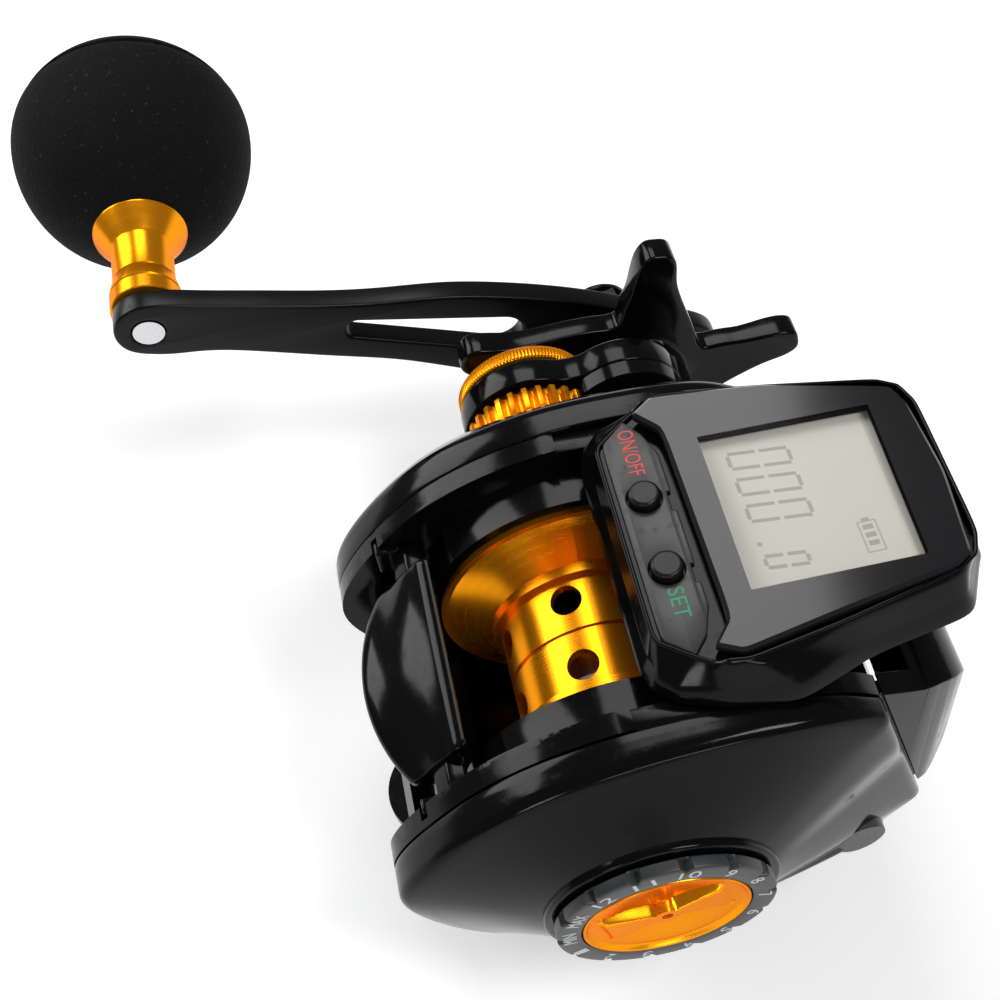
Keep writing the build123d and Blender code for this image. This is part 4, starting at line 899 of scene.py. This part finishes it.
def softened(corners, steps=12, passes=6):
    p = np.asarray(corners, float)
    share = np.linspace(0, 1, steps, endpoint=False)[None, :, None]
    loop = (p[:, None] * (1 - share) + np.roll(p, -1, 0)[:, None] * share).reshape(-1, 2)
    for _ in range(passes):
        loop = neighbours_mean(loop)
    return loop


HOUSING_LOW = [(12.6, 1.9), (15.4, 2.6), (17.5, 4.7), (19.3, 9.6), (20.2, 17.0), (17.1, 25.6),
               (15.2, 36.6), (10.0, 39.1), (8.4, 40.0)]
HOUSING_TOP = [(11.6, 3.6), (12.8, 4.0), (15.1, 6.9), (16.9, 9.6), (17.35, 12.4), (15.6, 22.6),
               (12.8, 35.4), (11.4, 37.6), (8.6, 38.6)]
BUTTONS = [(-4.6, 7.25), (4.6, 7.25)]
BRIM_REAR = 26.45
BRIM_FRONT = 27.35
BRIM_STEPS = ((0.0, 0.14), (0.05, 0.04), (0.16, 0.0), (0.32, 0.0), (0.42, 0.06), (0.46, 0.2))
WAIST_RISE = 24.0
WELL_RADIUS = 2.2
WELL_FLOOR = 24.8
HOUSING_FLOOR = 26.0


def counter_housing():
    low = softened(both_sides(HOUSING_LOW))
    top = softened(both_sides(HOUSING_TOP), passes=4)
    brim = BRIM_REAR + (BRIM_FRONT - BRIM_REAR) * smooth_step((top[:, 1] - 8.5) / 1.8)
    waist = moved_in(low, 0.95)
    rings = [in_plan(moved_in(low, 1.2), 21.6), in_plan(moved_in(low, 0.15), 21.75), in_plan(low, 22.0)]
    rings += [in_plan(moved_in(low, 0.3), 22.9), in_plan(waist, WAIST_RISE)]
    for t in (0.07, 0.4, 0.7, 0.93):
        rings.append(in_plan((1 - t) * waist + t * top, WAIST_RISE + t * (brim - WAIST_RISE)))
    for inset, drop in BRIM_STEPS:
        rings.append(in_plan(moved_in(top, inset), brim - drop))
    rings.append(in_plan(moved_in(top, 0.47), HOUSING_FLOOR))
    skin = Skin().grid(rings).cap(rings[0])
    wells = [circle(place, WELL_RADIUS, 48) for place in BUTTONS]
    skin.cap(rings[-1], *[in_plan(well, HOUSING_FLOOR) for well in wells])
    for well in wells:
        floor = in_plan(well, WELL_FLOOR)
        skin.grid([in_plan(well, HOUSING_FLOOR), floor]).cap(floor)
    skin.make("counter_shell", BLACK_BODY, "body", "black_body", ("counter_housing",), sharp=35)


PANEL_EDGE = [(12.6, 4.5), (15.0, 7.4), (13.0, 9.1), (9.8, 10.2), (6.9, 10.2), (6.9, 9.75),
              (4.6, 9.75), (4.6, 10.2), (-2.3, 10.2), (-2.3, 9.75), (-4.8, 9.75), (-4.8, 10.2),
              (-9.8, 10.2), (-13.0, 9.1), (-15.2, 7.5), (-12.6, 4.5)]
GLASS_EDGE = [(-14.9, 8.4), (-16.8, 11.1), (-15.2, 22.7), (-11.1, 36.4), (-8.3, 37.4),
              (1.1, 37.9), (11.3, 36.9), (12.5, 35.0), (14.7, 22.1), (16.6, 11.9), (15.2, 9.2),
              (12.5, 11.4), (-11.9, 11.0)]
PANEL_TOP = 26.5


def counter_front():
    """The button panel and the glass."""
    edge = softened(PANEL_EDGE, 12, 1)
    holes = [circle(place, 1.9, 48) for place in BUTTONS]
    panel = plate(edge, holes, HOUSING_FLOOR - 0.05, PANEL_TOP, (0.02, 0.15), in_plan)
    panel.make("counter_panel", PANEL, "body", "black_body", sharp=30)
    glass = softened(GLASS_EDGE, 12, 2)
    rings = [in_plan(glass, 26.9), in_plan(glass, 27.66), in_plan(moved_in(glass, 0.34), 28.0)]
    Skin().block(rings).make("counter_window", DARK_GLASS, "body", "dark_glass",
                             ("counter_glass",), sharp=25)


counter_housing()
counter_front()

# %% [markdown]
# Printed words start as text, become a mesh at once, and are scaled to a box: each point
# is origin + right x + up y, with a thin thickness along right x up.


# %% Printed words
INK_HEIGHT = 0.03


def printed(name, words, origin, right, up, size, material, body):
    curve = bpy.data.curves.new(name, "FONT")
    curve.body = words
    curve.extrude = 0.01
    curve.resolution_u = 4
    holder = bpy.data.objects.new(name + "_words", curve)
    mesh = bpy.data.meshes.new_from_object(holder)
    bpy.data.objects.remove(holder)
    bpy.data.curves.remove(curve)
    flat = np.empty(len(mesh.vertices) * 3)
    mesh.vertices.foreach_get("co", flat)
    p = flat.reshape(-1, 3)
    low, high = p.min(0), p.max(0)
    share = (p - low) / (high - low) - np.array([0.5, 0.5, 0.0])
    right = np.asarray(right, float)
    up = np.asarray(up, float)
    out = np.cross(right, up)
    placed = (np.asarray(origin, float) + share[:, :1] * size[0] * right
              + share[:, 1:2] * size[1] * up + share[:, 2:] * INK_HEIGHT * out)
    mesh.vertices.foreach_set("co", (placed * MM).ravel())
    work = bmesh.new()
    work.from_mesh(mesh)
    bmesh.ops.remove_doubles(work, verts=work.verts, dist=0.25 * WELD)
    work.to_mesh(mesh)
    work.free()
    finish_piece(name, mesh, material, body, (), 30.0)


ACROSS = (1, 0, 0)
FORWARD = (0, 1, 0)
printed("words_on_off", "ON/OFF", (-10.75, 7.35, SPOOL_Z + PANEL_TOP), ACROSS, FORWARD,
        (6.2, 1.75), RED_INK, "body")
printed("words_set", "SET", (8.85, 7.4, SPOOL_Z + PANEL_TOP), ACROSS, FORWARD, (3.7, 1.7),
        GREEN_INK, "body")

# %% [markdown]
# The brake dial: a notched ring with numbers round it, and a dished cap. The cap's height
# is a field over (radius, angle): a dish, plus a bow-tie ridge |t| < 0.85 + 0.3 |s| with
# s along the ridge and t across it, plus a small boss with a hole.

# %% Brake dial
DIAL_STEP = 360.0 / 14
DIAL_START = 128.0
DIAL_FACE = 30.74
DIAL_RADIUS = 12.15
NOTCH_DEPTH = 0.85
MARK_RADIUS = 10.72
CAP_RADIUS = 9.3
CAP_COUNT = 240


def notch_share(angle, step, start, half_width):
    """1 in the middle of each notch and 0 at its sides, with straight flanks."""
    off = (angle - start + step / 2) % step - step / 2
    return np.clip(1 - np.abs(off) / half_width, 0, 1)


def dial_ring():
    angle = np.linspace(0, 360, 1008, endpoint=False)
    way = ways(np.radians(angle))
    notch = notch_share(angle, DIAL_STEP, DIAL_START + 3.0, 3.6)
    notched = (DIAL_RADIUS - NOTCH_DEPTH * notch)[:, None]
    rings = [in_side(way * 9.45, 29.3), in_side(way * 12.0, 29.25)]
    rings += [in_side(way * (notched - inset), depth) for inset, depth in
              ((0.0, 29.4), (0.0, 30.4), (0.08, 30.6), (0.25, 30.7), (0.5, DIAL_FACE))]
    rings += [in_side(way * radius, depth) for radius, depth in
              ((10.6, DIAL_FACE), (9.6, DIAL_FACE), (9.47, 30.68), (9.45, 30.6))]
    Skin().closed(rings).make("dial_ring_skin", DIAL, "brake_dial", "dial_print",
                              ("dial_ring",), sharp=38)


def dial_marks():
    """The numbers 12 to 1, MIN and MAX, with their feet towards the middle."""
    labels = [str(number) for number in range(12, 0, -1)] + ["MIN", "MAX"]
    for index, label in enumerate(labels):
        turn_by = math.radians(DIAL_START - DIAL_STEP * index)
        outward = (0, math.cos(turn_by), math.sin(turn_by))
        clockwise = (0, math.sin(turn_by), -math.cos(turn_by))
        width = {1: 1.05, 2: 2.35, 3: 3.0}[len(label)]
        place = (DIAL_FACE, MARK_RADIUS * outward[1], SPOOL_Z + MARK_RADIUS * outward[2])
        printed("dial_mark_" + label.lower(), label, place, clockwise, outward, (width, 1.5), WHITE_INK,
                "brake_dial")


def dial_cap():
    lean = math.radians(12.0)
    angle = full_turn(CAP_COUNT)
    radii = np.concatenate([[0.05, 0.3, 0.55, 0.62, 0.8, 1.2, 1.45, 1.7, 1.9],
                            np.linspace(2.2, 8.4, 26), [8.7, 8.9, 9.05, 9.2, CAP_RADIUS]])
    rings = []
    for radius in radii:
        y = radius * np.cos(angle)
        z = radius * np.sin(angle)
        s = y * math.cos(lean) + z * math.sin(lean)
        t = -y * math.sin(lean) + z * math.cos(lean)
        dish = 29.55 + 0.75 * smooth_step((radius - 3.0) / 6.0)
        half = 0.85 + 0.30 * np.abs(s)
        ridge = smooth_step((half - np.abs(t)) / 0.55) * smooth_step((7.2 - np.abs(s)) / 0.9)
        groove = 0.45 * smooth_step((0.35 - np.abs(np.abs(t) - half - 0.2)) / 0.35) * (np.abs(s) < 6.8)
        height = dish + (30.62 - dish) * ridge - groove
        boss = smooth_step((1.75 - radius) / 0.3)
        height = height + (30.72 - height) * boss
        if radius < 0.6:
            height = np.full(len(angle), 29.9)
        rim = smooth_step((radius - 8.6) / 0.4)
        height = height + (30.78 - height) * rim
        if radius > 9.25:
            height = np.full(len(angle), 30.66)
        rings.append(in_side(np.stack([y, z], -1), height))
    rings.append(in_side(circle((0, 0), CAP_RADIUS, CAP_COUNT), 29.0))
    Skin().block(rings).make("dial_cap_skin", GOLD_SPOOL, "brake_dial", "gold_metal",
                             ("dial_cap",), sharp=50)


dial_ring()
dial_marks()
dial_cap()

# %% [markdown]
# The plate behind the tension knob is three overlapping circles. Where two of them meet
# at the top, the plate has a shallow waist instead of a sharp valley.


# %% Boss plate and tension knob
BOSS_CIRCLES = [((0.0, 0.0), 9.0)] + LOBES
WAIST = ((3.75, 8.18), (9.2, 8.44))
WHEEL_RADIUS = 9.1
TOOTH_STEP = 12.0
TOOTH_DEPTH = 0.9
RING_RADIUS = 8.9
KNURLS = 120
KNURL_DEPTH = 0.12


def boss_plate():
    outline = union_of_circles(BOSS_CIRCLES, 420)
    share = (outline[:, 0] - WAIST[0][0]) / (WAIST[1][0] - WAIST[0][0])
    arc = WAIST[0][1] + (WAIST[1][1] - WAIST[0][1]) * share - 2.8 * share * (1 - share)
    between = (share > 0) & (share < 1) & (outline[:, 1] > 4)
    outline[:, 1] = np.where(between, arc, outline[:, 1])
    holes = [circle((0, 0), 7.3), circle(DRIVE, 6.05)]
    shape = plate(outline, holes, -38.2, -42.2, (0.3, 0.7), in_side)
    shape.make("boss_plate_skin", BLACK_BODY, "body", "black_body", ("boss_plate",), sharp=35)


def tension_wheel():
    """A thin flange, then round-bottomed teeth: the cut is a half circle of the notch."""
    angle = np.linspace(0, 360, 960, endpoint=False)
    way = ways(np.radians(angle))
    cut = notch_share(angle, TOOTH_STEP, 4.0, 3.7)
    cut = np.sqrt(np.clip(1 - (1 - cut) ** 2, 0, 1))
    tooth = WHEEL_RADIUS - TOOTH_DEPTH * cut
    rings = [in_side(way * radius, depth) for radius, depth in
             ((5.7, -33.2), (8.8, -33.2), (9.05, -33.3), (WHEEL_RADIUS, -33.5), (9.05, -33.75))]
    rings += [in_side(way * (tooth - inset)[:, None], depth) for inset, depth in
              ((0.1, -33.85), (0.0, -34.1), (0.0, -37.1), (0.08, -37.3), (0.3, -37.4))]
    rings += [in_side(way * radius, depth) for radius, depth in
              ((7.1, -37.4), (7.0, -37.5), (7.0, -42.55), (5.7, -42.55))]
    Skin().closed(rings).make("tension_wheel_skin", GOLD_SPOOL, "tension_knob", "gold_metal",
                              ("tension_wheel",), sharp=35)


def tension_ring():
    """A dished disc with a knurled rim: the rim's radius waves with the cosine."""
    angle = np.linspace(0, 360, 1440, endpoint=False)
    way = ways(np.radians(angle))
    knurl = RING_RADIUS - KNURL_DEPTH * (0.5 + 0.5 * np.cos(np.radians(angle * KNURLS)))
    rings = [in_side(way * 0.05, -42.5), in_side(way * 8.65, -42.5)]
    rings += [in_side(way * (knurl - inset)[:, None], depth) for inset, depth in
              ((0.15, -42.55), (0.0, -42.7), (0.0, -44.1), (0.12, -44.35))]
    rings += [in_side(way * radius, depth) for radius, depth in
              ((8.55, -44.5), (7.2, -44.5), (7.1, -44.4), (7.1, -43.9), (0.05, -43.9))]
    Skin().closed(rings).make("tension_ring_skin", GOLD_SPOOL, "tension_knob", "gold_metal",
                              ("tension_ring",), sharp=35)


boss_plate()
tension_wheel()
tension_ring()

# %% [markdown]
# The star is one closed outline: each of its five paddles leans, with one broad flank and
# one steep one. A paddle's points are (degrees from its middle, radius). The star's faces
# run from that outline in to the hub, ring by ring: ring(u) = u outline + (1 - u) hub.

# %% Star drag
PADDLE = [(-57, 12.2), (-46, 12.5), (-35, 13.7), (-25, 15.3), (-18, 17.0), (-12, 19.2), (-9, 20.9),
          (-6.8, 23.0), (-5.2, 24.5), (-2.8, 25.5), (0.5, 25.6), (3.4, 25.4), (5.4, 24.4), (6.8, 22.3),
          (7.6, 20.0), (8.8, 17.3), (11.2, 14.6)]
STAR_PHASE = 4.8
STAR_ROLL = 0.45
STAR_NEAR = -49.4
STAR_HUB = ((2.45, -52.7), (2.45, -43.3), (8.2, -43.3), (8.2, -43.0), (8.9, -43.0),
            (9.13, -43.1), (9.2, -43.3), (9.2, -49.0), (9.28, -49.25), (9.5, STAR_NEAR))


def star_outline():
    steps, radii = np.array(PADDLE * 5).T
    turns = np.repeat(72 * np.arange(5), len(PADDLE))
    points = radii[:, None] * ways(np.radians(STAR_PHASE + turns + steps))
    return spline_through(points, 900, closed=True)


def star_drag():
    outline = star_outline()
    way = ways(np.sort(np.unwrap(np.arctan2(outline[:, 1], outline[:, 0]))))

    def near(ring):
        return STAR_NEAR + 1.0 * smooth_step((np.linalg.norm(ring, axis=1) - 11.5) / 13.0)

    def far(ring):
        return near(ring) - 3.3 - 0.5 * smooth_step((np.linalg.norm(ring, axis=1) - 17.0) / 6.0)

    def at(ring, depth):
        return in_side(ring + DRIVE, depth)

    rings = [at(way * radius, depth) for radius, depth in STAR_HUB]
    edge_roll = roll(STAR_ROLL)
    inner = moved_in(outline, STAR_ROLL)
    for u in np.linspace(0.12, 1.0, 10)[:-1]:
        ring = (1 - u) * way * 9.5 + u * inner
        rings.append(at(ring, near(ring)))
    for inset, depth in edge_roll:
        ring = moved_in(outline, inset)
        rings.append(at(ring, near(ring) - depth))
    for inset, depth in reversed(edge_roll):
        ring = moved_in(outline, inset)
        rings.append(at(ring, far(ring) + depth))
    for u in np.linspace(1.0, 0.0, 10)[1:]:
        ring = (1 - u) * way * 4.0 + u * inner
        rings.append(at(ring, far(ring)))
    Skin().closed(rings).make("star_skin", BLACK_BODY, "star", "black_body", ("star_drag",),
                              sharp=40)


star_drag()

# %% [markdown]
# The crank arm is a flat plate with rolled edges, a tapered window and two round holes.
# Its outline comes as shares of the crank's length from the drive axis. The window is the
# hull of two circles: for each direction d, the furthest point of centre + radius d.

# %% Crank arm
CRANK_LENGTH = float(np.linalg.norm(KNOB - DRIVE))
CRANK_WAY = (KNOB - DRIVE) / CRANK_LENGTH
ARM_SHARES = [(-0.898, 0.377), (-0.828, 0.354), (-0.711, 0.317), (-0.593, 0.280), (-0.468, 0.250),
              (-0.342, 0.227), (-0.216, 0.188), (-0.086, 0.134), (0, 0.090), (0.067, 0.050),
              (0.183, -0.023), (0.211, -0.041), (0.242, -0.070), (0.256, -0.114), (0.220, -0.165),
              (0.137, -0.172), (0, -0.126), (-0.152, -0.093), (-0.338, -0.008), (-0.464, 0.063),
              (-0.588, 0.116), (-0.747, 0.184), (-0.866, 0.224), (-0.918, 0.233), (-0.967, 0.248),
              (-1.006, 0.273), (-1.020, 0.314), (-1.004, 0.359), (-0.956, 0.384)]


def hull_of(circles, count=160):
    way = ways(full_turn(count))
    reach = np.stack([way @ np.asarray(centre) + radius for centre, radius in circles])
    chosen = reach.argmax(0)
    centres = np.array([centre for centre, radius in circles])[chosen]
    radii = np.array([radius for centre, radius in circles])[chosen]
    return centres + way * radii[:, None]


def handle_arm():
    outline = spline_through(DRIVE + CRANK_LENGTH * np.array(ARM_SHARES), 520, closed=True)
    side = np.array([CRANK_WAY[1], -CRANK_WAY[0]])
    small_end = DRIVE + CRANK_WAY * (CRANK_LENGTH - 28.4) + side * 0.8
    large_end = DRIVE + CRANK_WAY * (CRANK_LENGTH - 49.5)
    window = hull_of([(small_end, 1.6), (large_end, 3.2)])
    holes = [window, circle(KNOB, 2.24, 64), circle(DRIVE, 2.45, 64)]
    shape = plate(outline, holes, -59.2, -62.6, (0.45, 0.45), in_side)
    shape.make("arm_skin", BLACK_ARM, "crank", "black_arm", ("handle_arm",), sharp=35)


handle_arm()

# %% [markdown]
# The grip is a turned body of soft foam: two half ellipses that share one radius, longer
# towards the crank, down to the gold flare, with a groove just past the middle. The stem
# is turned metal: a collar at the crank, a fine ring groove, and a flare under the grip.

# %% Grip and stem
BALL_MIDDLE = -97.0
BALL_RADIUS = 17.36
BALL_NEAR = 18.6
BALL_FAR = 13.67
BALL_END = -109.44
BORE = 4.65
GROOVE_AT = -100.6
GROOVE_HALF = 0.90
GROOVE_DEPTH = 0.95
STEM_PATH = [(-63.3, 2.2), (-63.3, 4.75), (-63.42, 4.9), (-65.6, 4.9), (-65.75, 4.72),
             (-65.95, 4.9), (-66.2, 4.88), (-68.3, 4.38), (-68.45, 4.14), (-68.62, 4.3),
             (-74.7, 4.3), (-75.05, 4.42), (-78.2, 6.55), (-78.45, 6.6), (-78.65, 6.5),
             (-78.68, 4.6), (-108.4, 4.6), (-108.4, 2.2), (-63.3, 2.2)]


def grip():
    first = math.asin(10.5 / BALL_RADIUS)
    last = math.asin(7.2 / BALL_RADIUS)
    near = np.linspace(first, math.pi / 2, 34)
    far = np.linspace(math.pi / 2, last, 64)[1:]
    across = np.concatenate([BALL_MIDDLE + BALL_NEAR * np.cos(near),
                             BALL_MIDDLE - BALL_FAR * np.cos(far)])
    radius = BALL_RADIUS * np.sin(np.concatenate([near, far]))
    radius -= GROOVE_DEPTH * smooth_step(1 - np.abs(across - GROOVE_AT) / GROOVE_HALF)
    path = np.vstack([[(BALL_END, BORE), (-78.7, BORE), (-78.7, 6.3), (-78.85, 6.7)],
                      np.stack([across, radius], -1), [(BALL_END, 6.9), (BALL_END, BORE)]])
    turned(path, KNOB, 144).make("grip_skin", FOAM, "knob", "foam", ("eva_grip",), sharp=50)


def stem():
    turned(STEM_PATH, KNOB, 128).make("stem_skin", GOLD_KNOB, "knob", "gold_metal",
                                      ("knob_stem",), sharp=28)


grip()
stem()

# %% [markdown]
# The thumb bar is lofted across the reel: the same side profile at every place across,
# with its rear drawn to a crescent of radius r, y = middle - sqrt(r r - x x), and the ends
# rolled over. Its underside stays clear of the spool when it is pressed. The shoulders
# and guide lugs are plain blocks with eased edges.


# %% Thumb bar
CRESCENT_RADIUS = 23.0
CRESCENT_MIDDLE = -4.4
BAR_END = 11.9
BAR_ROLL = 0.5
LEDGE = [(-18.4, 6.6), (-16.9, 12.95), (-17.05, 13.25), (-17.3, 13.3), (-18.2, 13.02),
         (-18.45, 12.85)]
SLOPE = ((0.08, 12.3), (0.2, 11.75), (0.35, 11.0), (0.5, 10.1), (0.62, 9.25), (0.74, 8.55),
         (0.86, 7.95))
REAR_EDGE = ((0.35, 7.6), (0.08, 7.25), (0.0, 6.8), (0.12, 6.35), (0.5, 6.0))
UNDERSIDE = [(-20.8, 5.4), (-19.4, 5.7), (-18.7, 6.1)]
SHOULDER = [(-17.3, 11.0, 0.4), (-18.9, 7.4, 0.6), (-20.6, 5.2, 0.3), (-21.6, 6.5, 0.3),
            (-21.2, 9.0, 0.8), (-19.6, 10.9, 0.6)]
LUG = [(-23.0, 6.6, 0.3), (-20.0, 6.6, 0.3), (-20.0, 10.6, 0.3), (-23.0, 10.6, 0.3)]


def bar_profile(x):
    """The bar's side profile at one place across."""
    rear = CRESCENT_MIDDLE - math.sqrt(CRESCENT_RADIUS ** 2 - x * x)
    front = LEDGE[-1][0]
    loop = np.array(LEDGE + [(front + (rear - front) * t, z) for t, z in SLOPE]
                    + [(rear + y, z) for y, z in REAR_EDGE] + UNDERSIDE)
    end = max(0.0, abs(x) - BAR_END) / BAR_ROLL
    tuck = BAR_ROLL * (1 - math.sqrt(max(0.0, 1 - end * end)))
    if tuck:
        away = loop.mean(0) - loop
        loop = loop + away / np.linalg.norm(away, axis=1)[:, None] * tuck
    return loop


def thumb_bar():
    stations = np.concatenate([[-12.4, -12.33, -12.15, -11.9], np.linspace(-11.4, 11.4, 31),
                               [11.9, 12.15, 12.33, 12.4]])
    skin = Skin().block([in_side(bar_profile(x), x) for x in stations])
    shoulder = rounded(SHOULDER, 5)
    lug = rounded(LUG, 4)
    for sign in (-1, 1):
        for outline, start, stop in ((shoulder, 11.8, 16.2), (lug, 15.9, 17.7)):
            skin.block([in_side(moved_in(outline, inset), sign * depth)
                        for inset, depth in wall_steps(start, stop, (0.25, 0.25))])
    skin.make("thumb_bar_skin", BLACK_BODY, "thumb_bar", "black_body", ("thumb_bar",), sharp=40)


thumb_bar()

# %% [markdown]
# The floor is pale and shows white to the camera and in reflections, and the lamps are
# large and soft, placed like the windows that the gloss in the picture shows.


# %% Floor, world and lamps
FLOOR_GAP = 0.5 * MM
FLOOR_REACH = 3.0
FLOOR_GLOW = 0.32
SKY_COLOUR = (0.93, 0.96, 1.0, 1.0)
SKY_STRENGTH = 0.22


def stage():
    lowest = cad_box[0][2] - FLOOR_GAP
    corners = [(x * FLOOR_REACH, y * FLOOR_REACH, lowest)
               for x, y in ((-1, -1), (1, -1), (1, 1), (-1, 1))]
    mesh = bpy.data.meshes.new("floor")
    mesh.from_pydata(corners, [], [(0, 1, 2, 3)])
    floor = bpy.data.objects.new("floor", mesh)
    bpy.context.scene.collection.objects.link(floor)
    made = Finish("floor", (0.86, 0.86, 0.86), 0.9)
    tree = made.tree
    rays = tree.nodes.new("ShaderNodeLightPath")
    seen = Wire(tree, rays.outputs["Is Camera Ray"])
    seen = seen.maths("MAXIMUM", Wire(tree, rays.outputs["Is Glossy Ray"]))
    seen = seen.maths("MAXIMUM", Wire(tree, rays.outputs["Is Transmission Ray"]))
    made.set("Emission Color", (1.0, 1.0, 1.0, 1.0))
    made.set("Emission Strength", seen * FLOOR_GLOW)
    mesh.materials.append(made.material)
    world = bpy.data.worlds.new("studio")
    bpy.context.scene.world = world
    world.use_nodes = True
    sky = world.node_tree.nodes["Background"]
    sky.inputs["Color"].default_value = SKY_COLOUR
    sky.inputs["Strength"].default_value = SKY_STRENGTH


def lamp(name, at, aim, size, radiance):
    """A rectangular soft box at one point, facing another. Its power is pi times its area
    times its radiance."""
    data = bpy.data.lights.new(name, "AREA")
    data.shape = "RECTANGLE"
    data.size, data.size_y = size
    data.energy = math.pi * size[0] * size[1] * radiance
    made = bpy.data.objects.new(name, data)
    bpy.context.scene.collection.objects.link(made)
    way = (Vector(aim) - Vector(at)).normalized()
    turned_to = way.to_track_quat("-Z", "Y").to_matrix().to_4x4()
    made.matrix_world = Matrix.Translation(at) @ turned_to


BODY_MIDDLE = (0, 0, 0.02)
stage()
lamp("overhead", (-0.348, 0.040, 0.536), (0, 0.022, 0.05), (0.26, 0.26), 6.0)
lamp("window", (0.25, 0.32, 0.62), BODY_MIDDLE, (0.16, 0.30), 16.0)
lamp("fill", (-0.50, -0.52, 0.46), BODY_MIDDLE, (0.42, 0.42), 6.5)
lamp("side", (0.65, -0.35, 0.25), BODY_MIDDLE, (0.16, 0.16), 9.0)
lamp("strip", (0.70, 0.06, 0.16), BODY_MIDDLE, (0.30, 0.08), 8.0)
print("lamps:", len(bpy.data.lights))

# %% Sizes
print("CAD box", cad_box)
